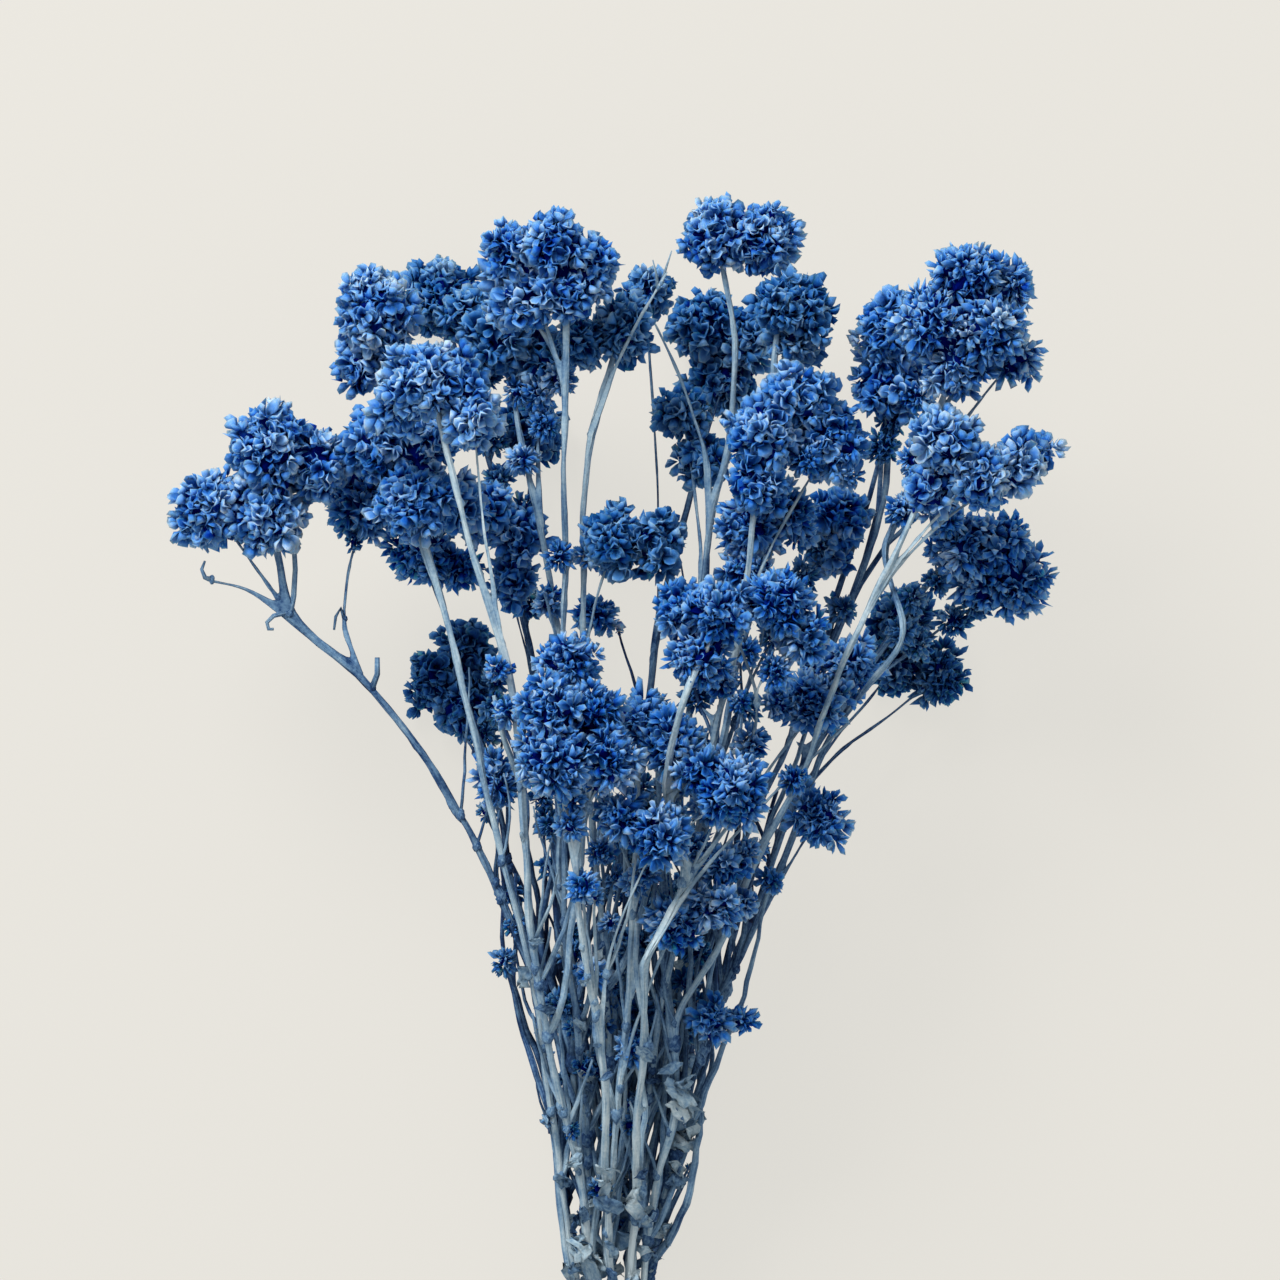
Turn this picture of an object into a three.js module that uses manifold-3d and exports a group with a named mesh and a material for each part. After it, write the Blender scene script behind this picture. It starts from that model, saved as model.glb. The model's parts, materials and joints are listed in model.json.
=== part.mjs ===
// A bunch of dyed, dried, branching stems lying on a surface. Each stem forks into twigs that carry
// knobbly heads of small papery florets, and a rubber band holds the stems near their cut ends.
// Millimetres. X runs across the bunch, Y along it from the cut ends to the heads, Z up.
import * as THREE from "three";
import { ConvexGeometry } from "three/addons/geometries/ConvexGeometry.js";
import { mergeVertices } from "three/addons/utils/BufferGeometryUtils.js";
import Module from "manifold-3d";

const wasm = await Module();
wasm.setup();

const { Vector3 } = THREE;

// Places along the bunch. The heads are placed from Y 0, which is 105 mm above the cut ends.
const CUT_END_Y = -105;
const TIE_Y = -25;
const NECK_Y = 12;

// Height of the bundle's middle, and the spacing of its stems, at those three places.
const AXIS_HEIGHT = { [CUT_END_Y]: 13.2, [TIE_Y]: 22, [NECK_Y]: 32 };
const STEM_SPACING = { [CUT_END_Y]: 6, [TIE_Y]: 4.6, [NECK_Y]: 7 };

// Radii of stems and twigs, and how much a limb's thickness varies along it.
const CUT_END_RADIUS = 1.85;
const TIP_RADIUS = 1.25;
const TWIG_RADIUS = 1.1;
const TWIG_TIP_RADIUS = 0.8;
const BARE_TWIG_WIDTH = 1.2;
const THICKEST = 1.2;
const UNEVENNESS = 0.08;

// Broken stubs: their radii, their length beyond the stem's skin, and the share of places with one.
const STUB_FOOT_RADIUS = 1;
const STUB_TIP_RADIUS = 0.8;
const STUB_LENGTH = { least: 3, more: 3 };
const STUB_SHARE = 0.33;

// How far along its length a twig still follows its stem before it bends away, and how deep in
// a lobe it ends, as a share of the lobe's size.
const TWIG_BEND = 0.33;
const SEAT_DEPTH = 0.35;

// How far a stem and a twig stray to either side of their smooth lines.
const STEM_CROOK = 1.4;
const TWIG_CROOK = 0.5;

// The smallest gap between two pieces, and the room that neighbouring stems are given to reach it.
const GAP = 0.35;
const ROOM = 0.9;
const ROUNDS = 160;

// A ring of facets every so many millimetres along a stem or a twig, and the facets of each ring.
const STEM_STEP = 28;
const TWIG_STEP = 20;
const STEM_SIDES = 5;
const TWIG_SIDES = 3;

// Florets are modelled somewhat larger than life: their spacing, and how deep the creases between them are.
const FLORET_SPACING = 11.6;
const FLORET_DEPTH = 2.8;
const FLORET_UNEVENNESS = 1.2;
const FEWEST_FLORETS = 10;
const UNDERSIDE_SHRINK = 0.22;

// Corners that lie this close to their neighbours after a cut are merged into them.
const SLIVER = 0.3;

// The rubber band.
const BAND_THICKNESS = 1.4;
const BAND_WIDTH = 7;
const BAND_SIDES = 20;

const STEM_COLOUR = 0x8fa3b5;
const FLORET_COLOUR = 0x3f66a8;
const BAND_COLOUR = 0xc7a36c;

// Each stem stands in the bundle at [ring, angle], with angle 0 to the right and 90 on top.
// via holds places that its line passes. A spray is a group of lobes that grow into one another,
// each [x, y, z, half its width, half its length], and fork is where its twigs leave the stem.
// The stem's own end is in the first lobe of its first spray, and every second lobe of a spray
// has a twig. bare holds twigs that have lost their head.
const STEMS = [
  {
    name: "left_outer",
    slot: [2, 180],
    thick: 1.12,
    via: [[-19, 51, 39], [-25, 97, 47], [-36, 122, 53], [-47, 143, 58], [-67, 174, 66], [-93, 195, 71]],
    sprays: [
      {
        name: "far_left",
        fork: 193,
        lobes: [
          [-102, 230, 80, 12, 13],
          [-101, 250, 83, 13, 14],
          [-119, 231, 76, 13, 13],
          [-88, 245, 78, 10, 12],
        ],
      },
      { name: "left_inner", fork: 177, lobes: [[-74, 234, 58, 11, 13]] },
    ],
    bare: [{ fork: 193, to: [-122, 210, 74] }],
  },
  {
    name: "left_low",
    slot: [2, 210],
    via: [[-17, 60, 26], [-29, 115, 24]],
    sprays: [
      {
        name: "left_dark",
        fork: 150,
        lobes: [[-42, 173, 9, 11, 11], [-45, 187, 8, 9, 10], [-53, 178, 8, 9, 10]],
      },
      { name: "left_hanging", fork: 132, lobes: [[-57, 219, 46, 12, 10], [-47, 214, 42, 8, 7]] },
      { name: "left_small", fork: 105, lobes: [[-35, 150, 30, 7, 10]] },
    ],
  },
  {
    name: "left_front",
    slot: [2, 120],
    thick: 1.18,
    via: [[-12, 45, 58], [-21, 90, 80], [-25, 129, 95], [-28, 174, 106], [-38, 208, 113], [-44, 234, 118]],
    sprays: [
      {
        name: "front_left",
        fork: 190,
        lobes: [[-53, 269, 121, 15, 12], [-62, 262, 112, 9, 10], [-41, 259, 124, 9, 12]],
      },
    ],
  },
  {
    name: "left_middle",
    slot: [2, 150],
    via: [[-22, 80, 66], [-32, 130, 80]],
    sprays: [
      {
        name: "left_large",
        fork: 190,
        lobes: [[-58, 234, 88, 14, 13], [-55, 250, 86, 10, 9], [-69, 251, 82, 12, 12], [-46, 233, 80, 9, 10]],
      },
      { name: "upper_left", fork: 170, lobes: [[-70, 291, 66, 13, 14], [-75, 274, 62, 9, 9]] },
    ],
  },
  {
    name: "left_back",
    slot: [2, 240],
    via: [[-12, 80, 20], [-26, 200, 22]],
    sprays: [
      { name: "upper_left_back", fork: 0, lobes: [[-52, 296, 10, 12, 13]] },
      { name: "back_shaded", fork: 180, lobes: [[-24, 256, 8, 11, 11]] },
      {
        name: "left_airy",
        fork: 140,
        lobes: [[-36, 230, 50, 9, 10], [-26, 223, 48, 9, 9], [-29, 210, 46, 8, 8]],
      },
    ],
  },
  {
    name: "centre_top",
    slot: [1, 150],
    via: [[-13, 110, 74], [-13, 190, 84], [-13, 250, 92]],
    sprays: [
      {
        name: "crown",
        fork: 255,
        lobes: [
          [-13, 297, 103, 12, 11],
          [-17, 310, 105, 11, 10],
          [-29, 307, 99, 10, 11],
          [-6, 303, 101, 8, 11],
          [-26, 294, 96, 11, 10],
        ],
      },
    ],
  },
  {
    name: "centre_left",
    slot: [1, 210],
    via: [[-14, 120, 56], [-16, 200, 60]],
    sprays: [
      {
        name: "crown_left",
        fork: 235,
        lobes: [[-32, 284, 62, 13, 13], [-43, 290, 56, 9, 9], [-20, 277, 64, 10, 10]],
      },
      { name: "centre_sparse", fork: 150, lobes: [[-5, 200, 66, 7, 6]] },
    ],
  },
  {
    name: "centre",
    slot: [0, 0],
    via: [[-2, 90, 62], [-9, 190, 78], [-8, 245, 82]],
    sprays: [
      { name: "crown_right", fork: 0, lobes: [[3, 284, 80, 10, 11], [-7, 282, 82, 8, 9]] },
      { name: "centre_cup", fork: 160, lobes: [[1, 222, 92, 11, 11], [13, 221, 90, 10, 11]] },
    ],
    bare: [{ fork: 240, to: [18, 303, 96] }],
  },
  {
    name: "back_centre",
    slot: [2, 270],
    via: [[4, 90, 17], [16, 200, 20]],
    sprays: [
      {
        name: "back_top",
        fork: 215,
        lobes: [[33, 271, 10, 12, 12], [28, 288, 15, 12, 12], [39, 283, 17, 9, 10]],
      },
      { name: "back_small", fork: 190, lobes: [[11, 297, 46, 9, 8]] },
      { name: "neck_small", fork: 40, lobes: [[7, 72, 27, 6, 12]] },
    ],
  },
  {
    name: "top_right",
    slot: [1, 270],
    via: [[16, 120, 44], [32, 235, 60], [38, 285, 68]],
    bare: [{ fork: 235, to: [13, 289, 66] }],
    sprays: [
      { name: "top_right", fork: 270, lobes: [[31, 313, 70, 11, 11], [46, 313, 69, 12, 11]] },
      { name: "inner_right", fork: 190, lobes: [[22, 260, 46, 9, 9], [26, 247, 46, 9, 9]] },
    ],
  },
  {
    name: "right_inner",
    slot: [1, 330],
    via: [[26, 120, 50], [46, 230, 70]],
    sprays: [
      {
        name: "upper_right",
        fork: 250,
        lobes: [[51, 293, 78, 11, 10], [56, 281, 72, 9, 9], [60, 291, 76, 8, 11]],
      },
      { name: "right_sparse", fork: 150, lobes: [[70, 229, 52, 9, 9], [66, 217, 50, 7, 7]] },
    ],
  },
  {
    name: "right_top",
    slot: [1, 30],
    via: [[18, 100, 66], [38, 190, 88]],
    sprays: [
      {
        name: "right_large",
        fork: 205,
        lobes: [
          [46, 254, 102, 12, 12],
          [57, 264, 98, 12, 10],
          [66, 252, 93, 11, 12],
          [44, 239, 100, 10, 10],
        ],
      },
      {
        name: "right_shoulder",
        fork: 160,
        lobes: [[42, 227, 80, 11, 11], [40, 213, 78, 9, 9], [53, 231, 78, 8, 9]],
      },
    ],
  },
  {
    name: "right_outer",
    slot: [2, 0],
    via: [[33, 84, 50], [43, 99, 53], [54, 129, 59], [63, 160, 68], [71, 182, 74], [82, 216, 82], [92, 242, 88]],
    sprays: [
      {
        name: "far_right",
        fork: 225,
        lobes: [
          [103, 274, 98, 12, 11],
          [97, 288, 101, 13, 12],
          [112, 286, 100, 13, 13],
          [107, 301, 97, 12, 10],
          [121, 277, 92, 9, 9],
          [121, 298, 94, 7, 8],
        ],
      },
      { name: "side_shoot", fork: 112, lobes: [[62, 139, 68, 9, 9], [61, 127, 66, 7, 7]] },
      { name: "neck_side", fork: 40, lobes: [[31, 78, 62, 8, 8], [40, 78, 62, 5, 5]] },
    ],
  },
  {
    name: "right_back",
    slot: [2, 330],
    via: [[26, 90, 30], [60, 180, 44]],
    sprays: [
      { name: "right_upper_back", fork: 205, lobes: [[84, 270, 62, 12, 12], [83, 286, 66, 10, 12]] },
    ],
  },
  {
    name: "right_front",
    slot: [2, 30],
    via: [[32, 96, 68], [56, 150, 84], [78, 202, 96]],
    sprays: [
      {
        name: "right_face",
        fork: 200,
        lobes: [
          [100, 251, 106, 12, 11],
          [95, 237, 102, 8, 9],
          [109, 241, 104, 12, 12],
          [120, 245, 97, 10, 9],
          [128, 249, 93, 7, 6],
        ],
      },
    ],
  },
  {
    name: "right_low",
    slot: [2, 300],
    via: [[31, 84, 24], [40, 99, 24], [50, 129, 26], [58, 152, 29], [67, 169, 33]],
    sprays: [
      {
        name: "right_edge",
        fork: 150,
        lobes: [[105, 221, 66, 10, 11], [117, 221, 62, 10, 10], [123, 210, 54, 10, 11], [112, 209, 56, 10, 9]],
      },
      {
        name: "right_under",
        fork: 120,
        lobes: [[86, 184, 8, 11, 10], [88, 198, 13, 11, 11], [101, 182, 10, 9, 10]],
      },
    ],
  },
  {
    name: "front_right",
    slot: [2, 60],
    via: [[10, 70, 76], [24, 130, 100]],
    sprays: [
      {
        name: "front_right",
        fork: 140,
        lobes: [
          [33, 201, 118, 12, 10],
          [50, 204, 115, 12, 10],
          [57, 194, 110, 8, 10],
          [26, 187, 115, 10, 10],
          [21, 200, 112, 8, 9],
        ],
      },
      {
        name: "right_skirt",
        fork: 105,
        lobes: [[62, 173, 78, 11, 10], [71, 184, 74, 10, 9], [75, 171, 74, 6, 6]],
      },
    ],
  },
  {
    name: "front_centre",
    slot: [2, 90],
    via: [[-2, 60, 84], [-8, 110, 108]],
    sprays: [
      {
        name: "front_low",
        fork: 115,
        lobes: [
          [-15, 157, 121, 13, 12],
          [-17, 172, 117, 13, 11],
          [0, 158, 119, 10, 10],
          [-6, 171, 115, 10, 9],
          [-13, 185, 109, 10, 9],
        ],
      },
      { name: "front_lowest", fork: 85, lobes: [[14, 134, 111, 10, 11], [3, 140, 112, 8, 8]] },
    ],
  },
  {
    name: "front_inner",
    slot: [1, 90],
    via: [[4, 70, 66], [6, 115, 80]],
    sprays: [
      { name: "front_middle", fork: 0, lobes: [[9, 168, 96, 9, 9], [18, 161, 98, 10, 11]] },
      { name: "front_side", fork: 100, lobes: [[37, 147, 111, 12, 12], [28, 152, 107, 9, 9]] },
      { name: "neck_front", fork: 60, lobes: [[20, 107, 88, 9, 9], [31, 112, 88, 9, 8]] },
      { name: "side_low", fork: 80, lobes: [[35, 126, 84, 9, 7]] },
    ],
  },
];

// A repeatable stream of numbers from 0 to 1.
function randomFrom(seed) {
  let state = seed >>> 0;
  return () => {
    state = (state + 0x6d2b79f5) >>> 0;
    let t = state;
    t = Math.imul(t ^ (t >>> 15), t | 1);
    t ^= t + Math.imul(t ^ (t >>> 7), t | 61);
    return ((t ^ (t >>> 14)) >>> 0) / 4294967296;
  };
}

// Where a stem stands in the bundle at one of the three places along it.
function slotPoint([ring, angle], y) {
  const turn = THREE.MathUtils.degToRad(angle);
  const reach = ring * STEM_SPACING[y];
  return new Vector3(reach * Math.cos(turn), y, AXIS_HEIGHT[y] + reach * Math.sin(turn));
}

// Points a set distance apart along a smooth line, with a slight crook at each as on a real stem.
function crookedLine(curve, step, random, crook) {
  const count = Math.max(2, Math.round(curve.getLength() / step));
  return curve.getSpacedPoints(count).map((point, i) => {
    const free = i > 0 && i < count && point.y > NECK_Y;
    const shift = new Vector3(random() - 0.5, 0, random() - 0.5).multiplyScalar(free ? 2 * crook : 0);
    return point.add(shift);
  });
}

// The number of the point whose place along the bunch is closest.
function nearestNode(nodes, y) {
  return nodes.reduce((best, p, i) => (Math.abs(p.y - y) < Math.abs(nodes[best].y - y) ? i : best), 0);
}

// The point inside a lobe where its twig ends.
function seatOf([x, y, z, width, length], from) {
  const centre = new Vector3(x, y, z);
  const inward = centre.clone().sub(from).normalize();
  return centre.addScaledVector(inward, -SEAT_DEPTH * Math.min(width, length));
}

// The direction of a line at one of its points.
function directionAt(nodes, i) {
  const before = nodes[Math.max(i - 1, 0)];
  const after = nodes[Math.min(i + 1, nodes.length - 1)];
  return after.clone().sub(before).normalize();
}

// A twig that leaves a stem along the stem's own direction and bends over to its end.
function twigLine(nodes, at, end, random) {
  const start = nodes[at];
  const along = directionAt(nodes, at);
  const reach = start.distanceTo(end);
  const bend = start.clone().addScaledVector(along, TWIG_BEND * reach);
  return crookedLine(new THREE.QuadraticBezierCurve3(start, bend, end), TWIG_STEP, random, TWIG_CROOK);
}

// The lines of one stem: the stem first, then its twigs, each with its points and radii.
function growStem(stem, index) {
  const random = randomFrom(1000 + index);
  const thick = stem.thick ?? 1;
  const [main, ...sides] = stem.sprays;
  const via = stem.via.map((place) => new Vector3(...place));
  const points = [CUT_END_Y, TIE_Y, NECK_Y].map((y) => slotPoint(stem.slot, y));
  points.push(...via, seatOf(main.lobes[0], via[via.length - 1]));
  const curve = new THREE.CatmullRomCurve3(points, false, "centripetal");
  const nodes = crookedLine(curve, STEM_STEP, random, STEM_CROOK);
  const from = CUT_END_RADIUS * thick;
  const lines = [{ nodes, from, to: TIP_RADIUS * thick, sides: STEM_SIDES, tip: main.lobes[0] }];
  const addTwig = (forkY, tip, endFrom, width) => {
    const fork = nearestNode(nodes, forkY);
    const end = endFrom(nodes[fork]);
    const size = { from: TWIG_RADIUS * width, to: TWIG_TIP_RADIUS * width, sides: TWIG_SIDES };
    lines.push({ nodes: twigLine(nodes, fork, end, random), ...size, fork, tip });
  };
  const addTwigs = ({ fork, lobes }, first) => {
    for (let i = first; i < lobes.length; i += 2) addTwig(fork, lobes[i], (at) => seatOf(lobes[i], at), 1);
  };
  addTwigs(main, 2);
  for (const spray of sides) addTwigs(spray, 0);
  for (const { fork, to } of stem.bare ?? []) addTwig(fork, null, () => new Vector3(...to), BARE_TWIG_WIDTH);
  for (const line of lines)
    line.radii = line.nodes.map((_, i) => {
      const share = i / (line.nodes.length - 1);
      return THREE.MathUtils.lerp(line.from, line.to, share) * (1 + UNEVENNESS * (2 * random() - 1));
    });
  return lines;
}

// Half the depth of a lobe along Z, from half its width and half its length.
function depthOf([, , , width, length]) {
  return 0.48 * (width + length);
}

// Samples between the points of every line, in their order along the bunch.
function sampleLines(parts) {
  const shares = [0.125, 0.375, 0.625, 0.875];
  const samples = parts.flatMap((part) =>
    part.line.radii.slice(1).flatMap((next, i) =>
      shares.map((share) => ({
        part,
        i,
        share,
        at: part.line.nodes[i].clone().lerp(part.line.nodes[i + 1], share),
        radius: THREE.MathUtils.lerp(part.line.radii[i], next, share),
      })),
    ),
  );
  return samples.sort((a, b) => a.at.y - b.at.y);
}

// Shares a push on a sample between the two points around it.
function push({ part, i, share }, by) {
  part.shifts[i].addScaledVector(by, 1 - share);
  part.shifts[i + 1].addScaledVector(by, share);
}

// Pushes the samples of two different plants apart where they come too close.
function pushApart(samples) {
  const reach = 2 * CUT_END_RADIUS * THICKEST + ROOM;
  const away = new Vector3();
  samples.forEach((a, n) => {
    for (let m = n + 1; m < samples.length && samples[m].at.y - a.at.y < reach; m++) {
      const b = samples[m];
      const short = a.radius + b.radius + ROOM - away.subVectors(a.at, b.at).length();
      if (short <= 0 || a.part.stem === b.part.stem) continue;
      push(a, away.setLength(short / 2));
      push(b, away.negate());
    }
  });
}

// Pushes a sample out of the lobes of other plants, across the bunch.
function pushOut(sample, lobes) {
  for (const { lobe, stem } of lobes) {
    if (stem === sample.part.stem) continue;
    const [x, y, z, width, length] = lobe;
    const half = new Vector3(width, length, depthOf(lobe)).addScalar(sample.radius + ROOM);
    const away = sample.at.clone().sub(new Vector3(x, y, z));
    const inside = 1 - away.clone().divide(half).length();
    if (inside > 0) push(sample, away.setY(0).setLength((inside * Math.min(half.x, half.z)) / 4));
  }
}

// Bends stems and twigs of different plants clear of each other and of each other's heads. What the
// band holds, the ends inside heads and the feet of twigs stay where they are.
function bendClear(stems, rounds) {
  const parts = stems.flatMap((lines, stem) => lines.map((line) => ({ line, stem })));
  const lobes = STEMS.flatMap(({ sprays }, stem) =>
    sprays.flatMap((spray) => spray.lobes.map((lobe) => ({ lobe, stem }))),
  );
  for (let round = 0; round < rounds; round++) {
    for (const part of parts) part.shifts = part.line.nodes.map(() => new Vector3());
    const samples = sampleLines(parts);
    pushApart(samples);
    for (const sample of samples) pushOut(sample, lobes);
    for (const { line, shifts } of parts)
      line.nodes.forEach((node, i) => {
        const foot = i === 0 && line.fork !== undefined;
        const seated = i === line.nodes.length - 1 && line.tip;
        if (node.y > TIE_Y + BAND_WIDTH && !foot && !seated) node.add(shifts[i]);
      });
    for (const { line, stem } of parts)
      if (line.fork !== undefined) line.nodes[0].copy(stems[stem][0].nodes[line.fork]);
  }
}

// A closed solid from a geometry, with its shared corners merged.
function solidOf(geometry) {
  const bare = new THREE.BufferGeometry().setAttribute("position", geometry.getAttribute("position"));
  if (geometry.index) bare.setIndex(geometry.index);
  const merged = mergeVertices(bare, 1e-4);
  return new wasm.Manifold(
    new wasm.Mesh({
      numProp: 3,
      vertProperties: merged.getAttribute("position").array,
      triVerts: new Uint32Array(merged.index.array),
    }),
  );
}

// A tapering limb: a cylinder whose rings are carried to the points of its line. grow thickens and
// lengthens it.
function limb({ nodes, radii, sides }, grow = 0) {
  const rings = nodes.length - 1;
  const geometry = new THREE.CylinderGeometry(1, 1, 1, sides, rings);
  const position = geometry.getAttribute("position");
  const across = new Vector3(0.3, 0, 1);
  const frames = nodes.map((node, i) => {
    const along = directionAt(nodes, i);
    across.addScaledVector(along, -across.dot(along)).normalize();
    const beyond = (i === rings ? grow : 0) - (i === 0 ? grow : 0);
    const centre = node.clone().addScaledVector(along, beyond);
    return { centre, out: across.clone(), side: across.clone().cross(along), radius: radii[i] + grow };
  });
  for (let v = 0; v < position.count; v++) {
    const { centre, out, side, radius } = frames[Math.round((position.getY(v) + 0.5) * rings)];
    const point = centre
      .clone()
      .addScaledVector(out, position.getX(v) * radius)
      .addScaledVector(side, position.getZ(v) * radius);
    position.setXYZ(v, point.x, point.y, point.z);
  }
  return solidOf(geometry);
}

// The distance from a place to the nearest line of another stem.
function roomAt(place, stems, index) {
  const nearest = new Vector3();
  const others = stems.filter((_, stem) => stem !== index).flat();
  return Math.min(
    ...others.flatMap(({ nodes }) =>
      nodes.slice(1).map((node, i) => {
        new THREE.Line3(nodes[i], node).closestPointToPoint(place, true, nearest);
        return nearest.distanceTo(place);
      }),
    ),
  );
}

// Short broken twigs left on the lower part of a stem, wherever one has room.
function stubs(stems, index) {
  const random = randomFrom(3000 + index);
  const { nodes, radii } = stems[index][0];
  const clear = CUT_END_RADIUS * THICKEST + STUB_FOOT_RADIUS + 2 * GAP;
  return nodes.flatMap((node, i) => {
    const turn = 2 * Math.PI * random();
    const out = new Vector3(Math.cos(turn), 0.9, Math.sin(turn)).normalize();
    const reach = radii[i] + STUB_LENGTH.least + STUB_LENGTH.more * random();
    const tip = node.clone().addScaledVector(out, reach);
    const chosen = random() < STUB_SHARE && node.y > NECK_Y && i < nodes.length - 3;
    const places = [0.5, 0.75, 1, 1.3].map((share) => node.clone().lerp(tip, share));
    if (!chosen || places.some((place) => roomAt(place, stems, index) < clear)) return [];
    return [{ nodes: [node.clone(), tip], radii: [STUB_FOOT_RADIUS, STUB_TIP_RADIUS], sides: TWIG_SIDES }];
  });
}

// Evenly scattered directions, each nudged a little.
function scatter(count, random) {
  const golden = Math.PI * (3 - Math.sqrt(5));
  const turn = 2 * Math.PI * random();
  return Array.from({ length: count }, (_, i) => {
    const height = 1 - (2 * (i + 0.5)) / count;
    const ring = Math.sqrt(1 - height * height);
    const direction = new Vector3(
      ring * Math.cos(golden * i + turn),
      height,
      ring * Math.sin(golden * i + turn),
    );
    const shift = new Vector3(random() - 0.5, random() - 0.5, random() - 0.5);
    return direction.addScaledVector(shift, 1.2 / Math.sqrt(count)).normalize();
  });
}

// A ball of pyramids. Each has its tip at one of the given directions and its foot in the creases,
// which lie in the middle of the triangles between the tips. The tips come first in directions.
function pyramidBall(tips) {
  const ball = new ConvexGeometry(tips);
  ball.deleteAttribute("normal");
  const mesh = mergeVertices(ball, 1e-5);
  const position = mesh.getAttribute("position");
  const corners = mesh.index.array;
  const directions = Array.from({ length: position.count }, (_, i) =>
    new Vector3().fromBufferAttribute(position, i),
  );
  const creaseLeftOf = new Map();
  for (let f = 0; f < corners.length; f += 3) {
    const face = [...corners.slice(f, f + 3)];
    face.forEach((a, k) => creaseLeftOf.set(`${a},${face[(k + 1) % 3]}`, directions.length));
    directions.push(face.reduce((sum, c) => sum.add(directions[c]), new Vector3()).normalize());
  }
  const triangles = [...creaseLeftOf].flatMap(([edge, crease]) => {
    const [a, b] = edge.split(",").map(Number);
    return [a, creaseLeftOf.get(`${b},${a}`), crease];
  });
  return { directions, triangles, tipCount: position.count };
}

// A lobe of a head: a ball, drawn in towards its stalk, whose whole surface is raised into florets.
function lobeSolid(lobe, number, stalkFrom, grow = 0) {
  const [x, y, z, width, length] = lobe;
  const random = randomFrom(7000 + number);
  const centre = new Vector3(x, y, z);
  const half = new Vector3(width, length, depthOf(lobe));
  const mean = Math.cbrt(half.x * half.y * half.z);
  const floretArea = 0.866 * FLORET_SPACING ** 2;
  const count = Math.max(FEWEST_FLORETS, Math.round((4 * Math.PI * mean ** 2) / floretArea));
  const { directions, triangles, tipCount } = pyramidBall(scatter(count, random));
  const down = stalkFrom.clone().sub(centre).normalize();
  const points = directions.map((direction, i) => {
    const under = Math.max(0, direction.dot(down));
    const relief = i < tipCount ? FLORET_UNEVENNESS * (random() - 0.5) : -FLORET_DEPTH;
    return direction.clone().multiplyScalar((1 - UNDERSIDE_SHRINK * under ** 2) * (1 + relief / mean));
  });
  const reach = new THREE.Box3().setFromPoints(points);
  const middle = reach.getCenter(new Vector3());
  const fit = half.clone().addScalar(grow).multiplyScalar(2).divide(reach.getSize(new Vector3()));
  const positions = points.flatMap((point) => point.sub(middle).multiply(fit).add(centre).toArray());
  const geometry = new THREE.BufferGeometry()
    .setAttribute("position", new THREE.Float32BufferAttribute(positions, 3))
    .setIndex(triangles);
  return solidOf(geometry);
}

// The largest connected body of a solid, without the scraps that a cut leaves.
function mainBody(solid) {
  const bodies = solid.simplify(SLIVER).decompose();
  return bodies.reduce((best, body) => (body.volume() > best.volume() ? body : best));
}

// All solids joined into one.
function union(solids) {
  return solids.reduce((sum, solid) => sum.add(solid));
}

// A named mesh of a solid.
function meshOf(name, solid, material) {
  const { numProp, vertProperties, triVerts } = solid.getMesh();
  const positions = new Float32Array((vertProperties.length / numProp) * 3);
  for (let i = 0; i * numProp < vertProperties.length; i++)
    positions.set(vertProperties.subarray(i * numProp, i * numProp + 3), i * 3);
  const geometry = new THREE.BufferGeometry()
    .setAttribute("position", new THREE.BufferAttribute(positions, 3))
    .setIndex(new THREE.BufferAttribute(new Uint32Array(triVerts), 1));
  const mesh = new THREE.Mesh(geometry, material);
  mesh.name = name;
  return mesh;
}

// The rubber band around the bundle, square to it.
function bandSolid() {
  const inner = 2 * STEM_SPACING[TIE_Y] + CUT_END_RADIUS * THICKEST + GAP;
  const outer = inner + BAND_THICKNESS;
  const half = BAND_WIDTH / 2;
  const corners = [[inner, -half], [outer, -half], [outer, half], [inner, half], [inner, -half]];
  const profile = corners.map(([radius, height]) => new THREE.Vector2(radius, height));
  const ring = new THREE.LatheGeometry(profile, BAND_SIDES);
  const rise = AXIS_HEIGHT[NECK_Y] - AXIS_HEIGHT[CUT_END_Y];
  ring.rotateX(Math.atan2(rise, NECK_Y - CUT_END_Y));
  ring.translate(0, TIE_Y, AXIS_HEIGHT[TIE_Y]);
  return solidOf(ring);
}

// A matt, non-metallic material of one colour.
function matt(color, roughness) {
  return new THREE.MeshStandardMaterial({ color, roughness, metalness: 0 });
}

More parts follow.
